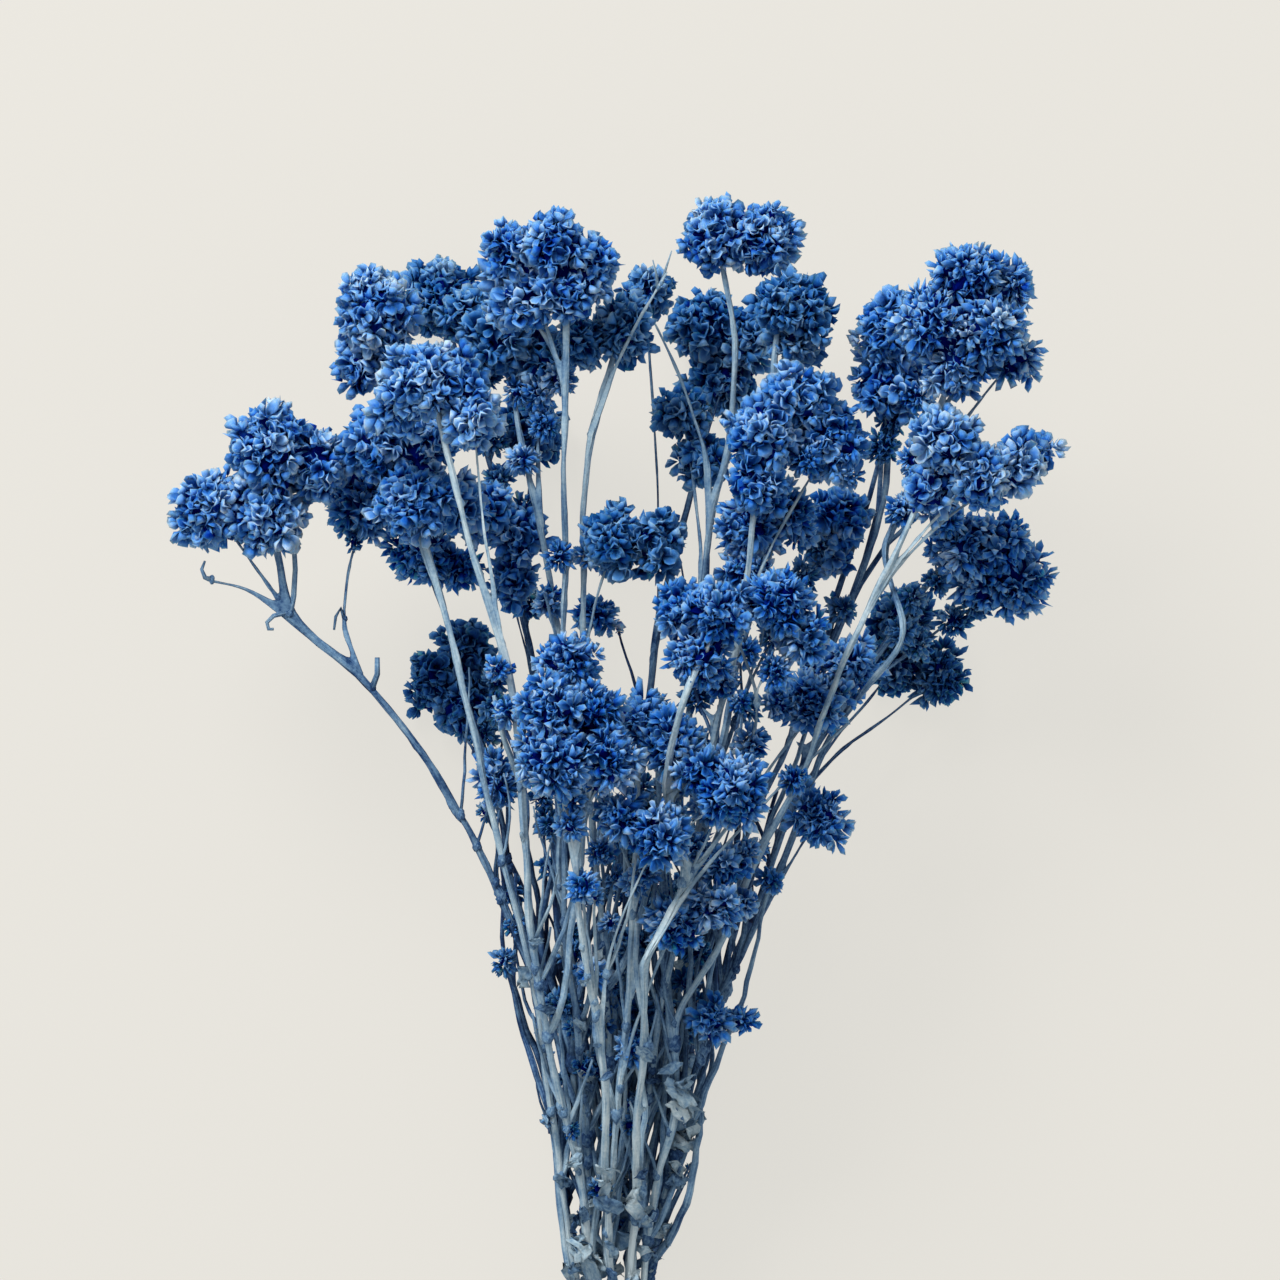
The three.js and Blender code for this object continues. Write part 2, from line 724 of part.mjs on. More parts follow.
// Builds the whole bunch, in the frame of the table above.
function buildBunch() {
  const stemMaterial = matt(STEM_COLOUR, 0.85);
  const floretMaterial = matt(FLORET_COLOUR, 0.9);
  const bandMaterial = matt(BAND_COLOUR, 0.6);
  const aboveSurface = solidOf(new THREE.BoxGeometry(1000, 1000, 400).translate(0, 100, 200));
  const bunch = new THREE.Group();

  const stems = STEMS.map(growStem);
  bendClear(stems, ROUNDS);

  // What a head leaves free: all stems with a gap around them, and then every head before it.
  const taken = stems.map((lines, index) => {
    const limbs = [...lines, ...stubs(stems, index)];
    const solid = union(limbs.map((line) => limb(line))).intersect(aboveSurface);
    bunch.add(meshOf(`stem_${STEMS[index].name}`, mainBody(solid), stemMaterial));
    return union(limbs.map((line) => limb(line, GAP)));
  });

  let lobeNumber = 0;
  STEMS.forEach((stem, index) => {
    for (const spray of stem.sprays) {
      const lobes = spray.lobes.map((lobe) => {
        const { nodes } = stems[index].find(({ tip }) => tip === lobe) ?? stems[index][0];
        return { lobe, number: lobeNumber++, from: nodes[nodes.length - 2] };
      });
      const grown = (grow) => union(lobes.map(({ lobe, number, from }) => lobeSolid(lobe, number, from, grow)));
      const solid = taken.reduce((rest, neighbour) => rest.subtract(neighbour), grown(0));
      taken.push(grown(GAP));
      bunch.add(meshOf(`head_${spray.name}`, mainBody(solid.intersect(aboveSurface)), floretMaterial));
    }
  });
  bunch.add(meshOf("band", bandSolid(), bandMaterial));
  return bunch;
}

// The origin is on the surface, under the middle of the bunch.
const bunch = buildBunch();
const extent = new THREE.Box3().setFromObject(bunch);
const middle = extent.getCenter(new Vector3());
bunch.position.set(-middle.x, -middle.y, -extent.min.z);

export default bunch;
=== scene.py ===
# %% [markdown]
# # A bunch of dried, dyed flower stems
#
# This lesson dresses a bunch of nineteen dried stems with dense heads of small papery florets. The bunch
# lies on a pale table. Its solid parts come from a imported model, which gives the place and the size of
# every stem, every head and the band. Here each of them gets the finish that the eye sees: thin cupped
# bracts on the heads, bark on the stems, and rubber on the band.
#
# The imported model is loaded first, because every later piece starts from a copy of one of its parts.
# Blender's noise functions take their seed from the clock unless one is set, so one is set here, and
# the bunch comes out the same every time.

import heapq
import json
import math
import random

import bmesh
import bpy
import numpy as np
from mathutils import Matrix, Vector, noise
from mathutils.bvhtree import BVHTree

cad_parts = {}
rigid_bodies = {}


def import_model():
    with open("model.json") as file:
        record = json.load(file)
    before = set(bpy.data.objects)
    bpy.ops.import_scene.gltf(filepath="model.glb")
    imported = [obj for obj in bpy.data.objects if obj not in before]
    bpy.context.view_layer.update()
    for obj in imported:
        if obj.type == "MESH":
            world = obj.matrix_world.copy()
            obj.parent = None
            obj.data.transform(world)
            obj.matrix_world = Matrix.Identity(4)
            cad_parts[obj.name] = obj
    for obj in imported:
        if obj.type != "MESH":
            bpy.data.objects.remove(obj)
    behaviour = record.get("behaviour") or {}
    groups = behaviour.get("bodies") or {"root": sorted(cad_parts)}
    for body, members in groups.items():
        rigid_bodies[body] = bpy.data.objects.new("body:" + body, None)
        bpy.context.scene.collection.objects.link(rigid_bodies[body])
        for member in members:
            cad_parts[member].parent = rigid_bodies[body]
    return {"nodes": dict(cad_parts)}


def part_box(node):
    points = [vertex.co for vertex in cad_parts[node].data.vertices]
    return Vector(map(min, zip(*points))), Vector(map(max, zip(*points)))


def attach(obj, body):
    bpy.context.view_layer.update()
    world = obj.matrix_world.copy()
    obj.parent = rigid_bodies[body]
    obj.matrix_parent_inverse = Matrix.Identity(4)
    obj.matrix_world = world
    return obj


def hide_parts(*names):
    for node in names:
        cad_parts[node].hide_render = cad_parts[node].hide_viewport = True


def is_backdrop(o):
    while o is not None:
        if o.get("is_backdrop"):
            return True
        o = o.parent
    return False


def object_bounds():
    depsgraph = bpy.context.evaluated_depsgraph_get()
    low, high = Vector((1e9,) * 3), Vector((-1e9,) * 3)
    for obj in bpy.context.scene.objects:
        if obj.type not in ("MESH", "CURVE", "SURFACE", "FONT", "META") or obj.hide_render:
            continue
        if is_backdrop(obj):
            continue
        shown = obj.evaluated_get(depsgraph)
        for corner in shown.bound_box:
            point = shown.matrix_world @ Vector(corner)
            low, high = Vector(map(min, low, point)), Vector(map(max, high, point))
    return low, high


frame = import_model()
solid_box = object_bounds()
noise.seed_set(7)
MM = 0.001
HEADS = sorted(name for name in frame["nodes"] if name.startswith("head_"))
STEMS = sorted(name for name in frame["nodes"] if name.startswith("stem_"))
print(f"{len(STEMS)} stems and {len(HEADS)} heads in the packed model")

# %% [markdown]
# ## The camera
#
# The photograph looks at the bunch from the side, and the bunch lies down here, so the camera looks
# straight down on it. A long lens from five metres away keeps stems near the lens and stems near the
# table at one scale, as in the photograph. The frame is 384 mm wide, which leaves the cut ends outside it.

# %% Camera
FRAME_WIDTH = 384 * MM
VIEW_CENTRE = Vector((7.5 * MM, 82.6 * MM, 70 * MM))
CAMERA_DISTANCE = 5.0

camera_data = bpy.data.cameras.new("camera")
camera_data.sensor_width = 36
camera_data.lens = camera_data.sensor_width * CAMERA_DISTANCE / FRAME_WIDTH
camera_data.clip_end = 20
camera = bpy.data.objects.new("camera", camera_data)
camera.location = VIEW_CENTRE + Vector((0, 0, CAMERA_DISTANCE))
bpy.context.scene.collection.objects.link(camera)
bpy.context.scene.camera = camera
print(f"lens {camera_data.lens:.0f} mm, {CAMERA_DISTANCE} m above the bunch")

# %% [markdown]
# ## Colours and material nodes
#
# Paint makers and screens give colours as sRGB hex values, and Blender's shaders count in linear light,
# so one function turns the one into the other. A material could be wired by hand in the node editor.
# Here one function adds a node, sets it, fills it where it is a colour ramp and links it, which keeps
# each material readable as a short list.


# %% Colour and node helpers
def dye(hex_value):
    """A hex colour as the linear colour that a shader needs."""
    parts = [int(hex_value[i:i + 2], 16) / 255 for i in (1, 3, 5)]
    return tuple(p / 12.92 if p < 0.04045 else ((p + 0.055) / 1.055) ** 2.4 for p in parts) + (1.0,)


def add(tree, kind, inputs=None, stops=(), **settings):
    """A new node. Each input is a value, or an output socket to link. Stops fill a colour ramp."""
    node = tree.nodes.new(kind)
    for name, value in settings.items():
        setattr(node, name, value)
    for name, value in (inputs or {}).items():
        if isinstance(value, bpy.types.NodeSocket):
            tree.links.new(value, node.inputs[name])
        else:
            node.inputs[name].default_value = value
    if stops:
        elements = node.color_ramp.elements
        while len(elements) < len(stops):
            elements.new(0.5)
        for element, (position, hex_value) in zip(elements, stops):
            element.position, element.color = position, dye(hex_value)
    return node


def new_material(name):
    """An empty node material, and its tree."""
    material = bpy.data.materials.new(name)
    material.use_nodes = True
    material.node_tree.nodes.clear()
    return material, material.node_tree


def finish_shader(tree, shader):
    """Links the shader to the material's output."""
    add(tree, "ShaderNodeOutputMaterial", {"Surface": shader.outputs[0]})


print("a middle grey, #808080, is {:.3f} in linear light".format(dye("#808080")[0]))


# %% [markdown]
# ## Florets as a material
#
# The florets are dry, papery bracts that were dyed blue in a bath. Each bract is painted navy at its base,
# as painted shade deep in the rosette, and pale at its thin rim, as a painted highlight. A painted picture
# could show that, but it would need a flat map of every bract, so the colour follows values that the mesh
# carries: `rim` runs from a bract's base to its edge, and a second value says how deep a floret sits
# between its neighbours and paints it darker there, as painted shade in the furrows and on the cores.
# A third value lets one floret differ from the next, and is set low on the cores as painted shade. Slow
# noise adds the clouds that an uneven bath leaves, and fine noise the wrinkles of the paper. Each has its
# share in one total, and a colour ramp turns the total into dye. The surface is matt, and paper this thin
# lets light through, so it gets some subsurface scattering.


# %% Papery dyed florets
def mix_shares(tree, start, *shares):
    """The start plus each value times its share. A value is a socket, or is carried by the mesh."""
    total = start
    for value, share in shares:
        if isinstance(value, str):
            value = add(tree, "ShaderNodeAttribute", attribute_name=value).outputs["Fac"]
        step = add(tree, "ShaderNodeMath", {0: value, 1: share, 2: total}, operation="MULTIPLY_ADD")
        total = step.outputs[0]
    return total


WRINKLE_WIDTH, CLOUD_WIDTH = 1.6 * MM, 11 * MM
# the darkest colour, painted shade in the folds and on the cores
PAINTED_FOLD_SHADE = "#010C58"


def floret_material(name, deep, middle, light, pale):
    """Dyed dry bracts. Matt, with navy painted shade in the folds, furrows and cores, and paler rims as a
    painted highlight, so each small leaf reads.
    """
    material, tree = new_material(name)
    place = add(tree, "ShaderNodeTexCoord").outputs["Object"]
    wrinkles = add(tree, "ShaderNodeTexNoise", {
        "Vector": place, "Scale": 1 / WRINKLE_WIDTH, "Detail": 3.0}).outputs["Fac"]
    clouds = add(tree, "ShaderNodeTexNoise", {
        "Vector": place, "Scale": 1 / CLOUD_WIDTH, "Detail": 2.0}).outputs["Fac"]
    # painted light and shade: the rim share pales each bract towards its edge as a highlight, and the depth
    # share darkens florets in the furrows and on the cores
    total = mix_shares(tree, -0.44, ("rim", 0.52), ("tone_and_painted_light", 0.34), ("hollow_and_painted_shade", -0.30),
                       (clouds, 0.98), (wrinkles, 0.40))
    colour = add(tree, "ShaderNodeValToRGB", {"Fac": total}, stops=(
        (0.0, PAINTED_FOLD_SHADE), (0.12, deep), (0.38, middle), (0.68, light), (1.0, pale)))
    relief = add(tree, "ShaderNodeBump", {"Height": wrinkles, "Strength": 0.3, "Distance": 0.4 * MM})
    shader = add(tree, "ShaderNodeBsdfPrincipled", {
        "Base Color": colour.outputs["Color"], "Roughness": 0.9, "Specular IOR Level": 0.0,
        "Normal": relief.outputs[0], "Subsurface Weight": 0.35,
        "Subsurface Radius": (0.4, 0.7, 1.0), "Subsurface Scale": 0.7 * MM})
    finish_shader(tree, shader)
    return material


# The teal and navy copies are darker, painted shade for heads that lie low at the back of the bunch and
# under it. The grey copy is a paler, greyer one.
FLORET_DYES = {
    "middle": floret_material("dyed_dry_bracts", "#032785", "#1F5FB2", "#5188CA", "#98B8DE"),
    "teal": floret_material("dyed_dry_bracts_painted_shade", "#02206C", "#1A5296", "#4377B2", "#7FA4CA"),
    "navy": floret_material("dyed_dry_bracts_painted_deep_shade", "#02185A", "#133E80", "#3264A0", "#648CB8"),
    "grey": floret_material("dyed_dry_bracts_paler", "#052E8C", "#2E6CBC", "#6697D0", "#ACC6E2"),
}
print(f"{len(FLORET_DYES)} floret dyes")

# %% [markdown]
# ## One floret
#
# A floret is a tuft of small cupped bracts round one point: the first stand up, and the last lie almost
# flat. It could be a flat card with a see-through picture of petals, but a card has no edge to catch
# light and no solid form to export. So each bract starts as a ball of two rings, which is a flat double
# cone. Its outline is pulled into a leaf that is widest past its middle, its sides curl forward, and
# every point of its rim strays a little at random, like the frayed edge of dry paper. It stays closed
# and has few faces, because the heads need tens of thousands of bracts. Two kinds of floret are made:
# a rounded one, of six broad bracts with eight corners, and a pointed one, of eight narrow bracts with
# six. Seeded variants keep neighbours different.


# %% Floret shapes
VARIANTS = 9
GOLDEN_ANGLE = 2.39996  # between one bract and the next, in radians, so that none hides another
FRILL = 0.26  # how far a rim point strays, as a share of the bract


def smooth(kit):
    """Shades all faces of a bmesh smooth."""
    for face in kit.faces:
        face.smooth = True


def add_bract(kit, rng, sides, width, length, lean, turn):
    """One closed, cupped bract with a frilled edge, its base at the floret's centre."""
    # The rim value runs from the base to the edge; the bract material paints the base darker, as shade, and
    # the edge paler, as a highlight.
    rim = kit.verts.layers.float["rim"]
    made = bmesh.ops.create_uvsphere(kit, u_segments=sides, v_segments=2, radius=1.0)["verts"]
    front, back = max(made, key=lambda v: v.co.z), min(made, key=lambda v: v.co.z)
    curl, hook, widest = rng.uniform(0.05, 0.35), rng.uniform(-0.25, 0.35), rng.uniform(0.55, 0.70)
    for v in made:
        if v in (front, back):
            depth, v[rim] = (-0.12, 0.30) if v is front else (-0.30, 0.15)
            v.co = (rng.uniform(-0.08, 0.08) * width, widest * length, depth * width)
            continue
        turned = math.atan2(v.co.x, v.co.y)
        out = 0.5 + 0.5 * math.cos(turned)  # 0 at the bract's base, 1 at its tip
        frill = rng.uniform(-FRILL, FRILL) * out
        across = math.sin(turned) * (0.28 + 0.25 * out) * (1 + frill)
        share = out**0.8 * (1 + 0.5 * frill)
        rise = curl * abs(across) * 2 + hook * out**3 + 0.9 * frill
        v.co = (across * width, share * length, rise * width)
        v[rim] = out
    spin = Matrix.Rotation(turn, 4, "Z") @ Matrix.Rotation(math.pi / 2 - lean, 4, "X")
    bmesh.ops.transform(kit, matrix=spin @ Matrix.Translation((0, 0.12, 0)), verts=made)


def floret(seed, count, sides, width, length):
    """A tuft of bracts round the Z axis, about one unit high, each leaning out more than the last."""
    rng = random.Random(seed)
    kit = bmesh.new()
    kit.verts.layers.float.new("rim")
    for i in range(count):
        share = (i + 0.5) / count
        lean = 0.35 + 1.05 * share**0.8 + rng.uniform(-0.22, 0.22)
        turn = i * GOLDEN_ANGLE + rng.uniform(-0.5, 0.5)
        grow = rng.uniform(0.80, 1.20)
        add_bract(kit, rng, sides, width * grow * rng.uniform(0.8, 1.15), length * grow, lean, turn)
    bmesh.ops.recalc_face_normals(kit, faces=kit.faces)
    smooth(kit)
    mesh = bpy.data.meshes.new("floret_shape")
    kit.to_mesh(mesh)
    kit.free()
    return mesh


ROUNDED = [floret(100 + i, 6, 8, 0.92, 1.0) for i in range(VARIANTS)]
POINTED = [floret(200 + i, 8, 6, 0.60, 1.10) for i in range(VARIANTS)]
print(f"{2 * VARIANTS} floret shapes of {len(ROUNDED[0].polygons)} and {len(POINTED[0].polygons)} faces")

# %% [markdown]
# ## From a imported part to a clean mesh
#
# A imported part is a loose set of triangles. Its copy is merged first, so that normals and smoothing
# work across its edges. The part itself is never changed. A search tree over each part then answers
# two questions fast: where a ray meets it, and whether a point lies inside it. Testing every triangle
# would give the same answers, a thousand times slower.


# %% Copy and merge
def merged_copy(name):
    """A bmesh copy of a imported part, with its doubles merged."""
    kit = bmesh.new()
    kit.from_mesh(frame["nodes"][name].data)
    bmesh.ops.remove_doubles(kit, verts=kit.verts, dist=1e-6)
    return kit


SURFACES = {}
for part_name in HEADS + STEMS:
    part_kit = merged_copy(part_name)
    SURFACES[part_name] = (BVHTree.FromBMesh(part_kit), *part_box(part_name))
    part_kit.free()
print(f"{len(SURFACES)} surfaces to measure from")

# %% Inside or outside
NUDGE = 0.01  # a ray goes on this many mm past each hit
MOST_CROSSINGS = 20


def is_inside(point, tree):
    """True where a line from the point leaves the closed surface an odd number of times."""
    way, crossings = Vector((0.31, 0.43, 0.85)).normalized(), 0
    while crossings < MOST_CROSSINGS:
        hit = tree.ray_cast(point, way)[0]
        if hit is None:
            break
        point, crossings = hit + way * NUDGE * MM, crossings + 1
    return crossings % 2 == 1


def hidden(point, own):
    """True where the point lies inside another head."""
    for other in HEADS:
        tree, low, high = SURFACES[other]
        if other != own and all(low[i] < point[i] < high[i] for i in range(3)) and is_inside(point, tree):
            return True
    return False


held = [is_inside((Vector(low) + Vector(high)) / 2, tree) for tree, low, high in map(SURFACES.get, HEADS)]
print(f"{sum(held)} of {len(HEADS)} heads hold the middle of their own box")

# %% [markdown]
# ## Where the florets sit
#
# A head is a crowd of small round clusters. The imported heads have a raised tip for each cluster, and
# those tips are kept as cluster middles. Seeded darts fill the gaps between them: a random point on the
# surface is kept if no kept one is closer than the spacing. Finer darts then give every floret its
# place. One floret on each vertex would be simpler, but it would show the imported mesh as rows. A floret
# far from its cluster's middle sits deeper and leans outwards, so each cluster bulges and furrows run
# between them, and such a floret is also painted darker, as painted shade in the furrows.

# %% Clusters and florets on a head
CLUSTER_SPACING = 8.5 * MM
FLORET_SPACING = 3.3 * MM
FLORET_SIZE = 4.1 * MM
SINK = 2.5 * MM  # how deep a floret's middle sits
FURROW_DEPTH = 1.5  # extra depth between clusters, in mm
LUMP_WIDTH = 12 * MM
SHARP_TIP = -0.22  # how far the edges at a tip fall away, as a cosine
TRIES_PER_SPOT = 22


def tips_of(kit):
    """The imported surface's own raised tips, sharpest first, as (point, normal)."""
    sharp = {v: sum((e.other_vert(v).co - v.co).normalized().dot(v.normal) for e in v.link_edges)
             / max(1, len(v.link_edges)) for v in kit.verts}
    found = [v for v in kit.verts
             if sharp[v] < SHARP_TIP and all(sharp[v] <= sharp[e.other_vert(v)] for e in v.link_edges)]
    return [(v.co.copy(), v.normal.copy()) for v in sorted(found, key=lambda v: (sharp[v], v.index))]


def throw_darts(kit, rng, spacing, first=()):
    """Seeded darts on a bmesh, none closer to another than the spacing, as (point, normal)."""
    faces = list(kit.faces)
    reach = np.cumsum([f.calc_area() for f in faces])
    tries = int(reach[-1] / spacing**2 * TRIES_PER_SPOT)
    spots, kept = np.zeros((tries + len(first), 3)), []

    def try_dart(point, normal):
        n = len(kept)
        if n == 0 or ((spots[:n] - point) ** 2).sum(axis=1).min() > spacing**2:
            spots[n] = point
            kept.append((point, normal))

    for point, normal in first:
        try_dart(point, normal)
    for _ in range(tries):
        face = faces[min(int(np.searchsorted(reach, rng.random() * reach[-1])), len(faces) - 1)]
        a, b = rng.random(), rng.random()
        a, b = (1 - a, 1 - b) if a + b > 1 else (a, b)
        v0, v1, v2 = face.verts[:3]
        try_dart(v0.co * (1 - a - b) + v1.co * a + v2.co * b,
                 (v0.normal * (1 - a - b) + v1.normal * a + v2.normal * b).normalized())
    return kept


def florets_on(kit, rng, own):
    """Seeded floret places on a head, as (point, direction, depth share for painted shade, tone)."""
    middles = throw_darts(kit, rng, CLUSTER_SPACING, tips_of(kit))
    spots = np.array([point for point, _ in middles])
    tones = [rng.random() for _ in middles]
    places = []
    for point, normal in throw_darts(kit, rng, FLORET_SPACING):
        gaps = np.linalg.norm(spots - point, axis=1)
        nearest = int(gaps.argmin())
        hollow_and_painted_shade = min(1.0, gaps[nearest] / (0.66 * CLUSTER_SPACING))
        lump = noise.noise(point / LUMP_WIDTH) * 1.2 + rng.uniform(-0.8, 0.8)
        out = (normal + (point - middles[nearest][0]) / CLUSTER_SPACING * 1.5).normalized()
        place = point - normal * (SINK + (FURROW_DEPTH * hollow_and_painted_shade**2 - lump) * MM)
        # painted shade: a floret far into a furrow carries a darker value
        if not hidden(place + out * 0.5 * MM, own):
            places.append((place, out, hollow_and_painted_shade**1.5, 0.55 * tones[nearest] + 0.45 * rng.random()))
    return places


print(f"clusters {CLUSTER_SPACING / MM} mm apart, florets {FLORET_SPACING / MM} mm apart")

# %% [markdown]
# ## A head
#
# A head is a core painted dark as shade, which is the imported part drawn in a little, with florets
# standing on all of it.
# Each floret is a copy of one of the shapes above, turned so that it looks along the surface's normal,
# with a seeded lean, spin and size. All of them go into the head's own mesh, so the head stays one
# piece. Copies in the mesh are used because particles and instances are lost when a model is exported.

# %% Which dye and which floret each head has
POINTED_HEADS = {"head_front_low", "head_front_lowest", "head_front_middle", "head_front_right",
                 "head_front_side", "head_side_shoot", "head_side_low", "head_neck_front",
                 "head_right_skirt", "head_right_edge", "head_neck_side", "head_neck_small",
                 "head_left_inner", "head_left_small", "head_left_hanging", "head_right_under",
                 "head_far_right", "head_centre_sparse", "head_right_shoulder"}
# teal and navy dress heads low at the back of the bunch and under it in darker copies, as painted shade
HEAD_DYES = {
    "teal": {"head_back_top", "head_upper_right", "head_inner_right", "head_back_small",
             "head_centre_cup", "head_crown_left", "head_crown_right", "head_upper_left_back"},
    "navy": {"head_back_shaded", "head_left_dark", "head_right_under"},
    "grey": {"head_front_left", "head_far_left", "head_upper_left", "head_crown",
             "head_far_right", "head_right_face", "head_top_right"},
}


def dye_of(name):
    """The name of a head's dye."""
    return next((dye_name for dye_name, names in HEAD_DYES.items() if name in names), "middle")


print(f"pointed florets on {len(POINTED_HEADS)} heads, rounded ones on {len(HEADS) - len(POINTED_HEADS)}")

# %% Put florets on a mesh
TABLE_GAP = 0.15 * MM  # the least height of any point above the table


def plant(kit, places, shapes, rng, size):
    """Adds a turned copy of a floret shape at each place."""
    for point, normal, hollow_and_painted_shade, tone_and_painted_light in places:
        shape = rng.choice(shapes).copy()
        sway = Vector((rng.uniform(-1, 1), rng.uniform(-1, 1), rng.uniform(-1, 1))) * 0.32
        spin = Matrix.Rotation(rng.uniform(0, math.tau), 3, "Z")
        turn = (normal + sway).to_track_quat("Z", "Y").to_matrix() @ spin
        grow = Matrix.Scale(size * rng.uniform(0.82, 1.22), 4)
        shape.transform(Matrix.Translation(point) @ turn.to_4x4() @ grow)
        for layer, value in (("hollow_and_painted_shade", hollow_and_painted_shade), ("tone_and_painted_light", tone_and_painted_light)):
            data = shape.attributes.new(layer, "FLOAT", "POINT").data
            data.foreach_set("value", np.full(len(shape.vertices), value, np.float32))
        kit.from_mesh(shape)
        bpy.data.meshes.remove(shape)


def settle(kit):
    """Keeps a mesh above the table that it lies on."""
    for v in kit.verts:
        v.co.z = max(v.co.z, TABLE_GAP)


def make_piece(kit, name, materials, slot, *replaced):
    """Turns a bmesh into a finished piece that rides with the bunch."""
    mesh = bpy.data.meshes.new(name)
    kit.to_mesh(mesh)
    kit.free()
    for material in materials:
        mesh.materials.append(material)
    piece = bpy.data.objects.new(name, mesh)
    bpy.context.scene.collection.objects.link(piece)
    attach(piece, "root")
    if replaced:
        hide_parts(*replaced)
    return piece


# %% Dress every head
CORE_DEPTH = 3.2 * MM
RAY_START = 0.05  # a ray that measures thickness starts this many mm inside the surface


def draw_in(kit, deepest):
    """Draws a closed surface in by at most the given depth, and less where it is thin."""
    tree = BVHTree.FromBMesh(kit)
    moves = []
    for v in kit.verts:
        far = tree.ray_cast(v.co - v.normal * RAY_START * MM, -v.normal)[3] or 0.0
        moves.append(v.normal * min(deepest, 0.28 * far))
    for v, move in zip(kit.verts, moves):
        v.co -= move


def triangles_in(piece):
    """How many triangles a piece's mesh makes."""
    return sum(len(face.vertices) - 2 for face in piece.data.polygons)


def dress_head(name):
    """Makes a head's core and florets one piece, and returns its counts of florets and triangles."""
    rng = random.Random(name)
    kit = merged_copy(name)
    places = florets_on(kit, rng, name)
    draw_in(kit, CORE_DEPTH)
    kit.verts.layers.float.new("rim")
    hollow_and_painted_shade, tone_and_painted_light = kit.verts.layers.float.new("hollow_and_painted_shade"), kit.verts.layers.float.new("tone_and_painted_light")
    # painted shade: the drawn-in core gets the darkest values
    for v in kit.verts:
        v[tone_and_painted_light], v[hollow_and_painted_shade] = 0.0, 1.0
    plant(kit, places, POINTED if name in POINTED_HEADS else ROUNDED, rng, FLORET_SIZE)
    settle(kit)
    piece = make_piece(kit, "florets" + name[4:], [FLORET_DYES[dye_of(name)]], "dyed_floret", name)
    return len(places), triangles_in(piece)


floret_counts, head_counts = zip(*[dress_head(name) for name in HEADS])
print(f"{sum(floret_counts)} florets, {sum(head_counts)} triangles, most in a head {max(head_counts)}")

# %% [markdown]
# ## Stems as a material
#
# The stems are dry and woody, with a thin coat of dye that leaves them a pale grey blue. Fine fibres
# run along them. A picture of bark wrapped round a stem would show a seam at every fork, so the pattern
# reads values that the mesh carries: `around` is the direction that the bark faces, and `along` is the
# distance from the cut end. Noise that changes fast around the stem and slowly along it gives streaks
# that follow every bend. `slender` darkens thin twigs, which soaked up more dye. A tone value sets one
# stem off from the next, and also carries painted light and shade: it is high on top of the bunch and on
# faces that point up, and low deep inside it.


# %% Dyed bark and cut pith
FIBRE_WIDTH, FIBRE_RUN = 0.8 * MM, 20 * MM  # across and along a stem
STEM_RADIUS = 1.92 * MM
STAIN_WIDTH, GRIT_WIDTH, SPECKLE_WIDTH = 9 * MM, 0.9 * MM, 0.6 * MM


def bark_material():
    """Dyed dry wood fibre. Matt grey blue, with navy left in the grooves and pale ridges between them, and
    painted light and shade: pale on top of the bunch and on upward faces, navy deep inside it.
    """
    material, tree = new_material("dyed_dry_bark")
    place = add(tree, "ShaderNodeTexCoord").outputs["Object"]
    around = add(tree, "ShaderNodeAttribute", attribute_name="around").outputs["Vector"]
    fibres = add(tree, "ShaderNodeTexNoise", {
        "Vector": around, "W": mix_shares(tree, 0.0, ("along", 1 / FIBRE_RUN)),
        "Scale": STEM_RADIUS / FIBRE_WIDTH, "Detail": 3.0}, noise_dimensions="4D").outputs["Fac"]
    grit = add(tree, "ShaderNodeTexNoise", {
        "Vector": place, "Scale": 1 / GRIT_WIDTH, "Detail": 2.0}).outputs["Fac"]
    stains = add(tree, "ShaderNodeTexNoise", {
        "Vector": place, "Scale": 1 / STAIN_WIDTH, "Detail": 3.0}).outputs["Fac"]
    # the tone share carries painted light and shade as well as each stem's own tone
    total = mix_shares(tree, -0.78, (fibres, 0.7), (stains, 0.7), (grit, 0.35),
                       ("slender", -0.06), ("tone_and_painted_light", 0.78))
    colour = add(tree, "ShaderNodeValToRGB", {"Fac": total}, stops=(
        (0.06, "#021036"), (0.28, "#20426E"), (0.52, "#5F81A2"), (0.74, "#8FA9BB"), (1.0, "#BCCCD4")))
    ridge = add(tree, "ShaderNodeBump", {"Height": fibres, "Strength": 0.8, "Distance": 0.7 * MM})
    skin = add(tree, "ShaderNodeBump", {
        "Height": grit, "Strength": 0.4, "Distance": 0.3 * MM, "Normal": ridge.outputs[0]})
    shader = add(tree, "ShaderNodeBsdfPrincipled", {
        "Base Color": colour.outputs["Color"], "Roughness": 0.8, "Specular IOR Level": 0.2,
        "Normal": skin.outputs[0]})
    finish_shader(tree, shader)
    return material


def pith_material():
    """Cut dry pith. Soft and pale, with a faint speckle, so the cut ends read as cut."""
    material, tree = new_material("cut_dry_pith")
    place = add(tree, "ShaderNodeTexCoord").outputs["Object"]
    speckle = add(tree, "ShaderNodeTexNoise", {
        "Vector": place, "Scale": 1 / SPECKLE_WIDTH, "Detail": 3.0}).outputs["Fac"]
    colour = add(tree, "ShaderNodeValToRGB", {"Fac": speckle}, stops=((0.3, "#8C97A0"), (0.7, "#C9CBC4")))
    shader = add(tree, "ShaderNodeBsdfPrincipled", {
        "Base Color": colour.outputs["Color"], "Roughness": 0.9, "Specular IOR Level": 0.2})
    finish_shader(tree, shader)
    return material


BARK, PITH = bark_material(), pith_material()
print(f"bark with fibres {FIBRE_WIDTH / MM} mm wide, and pith at the cut ends")

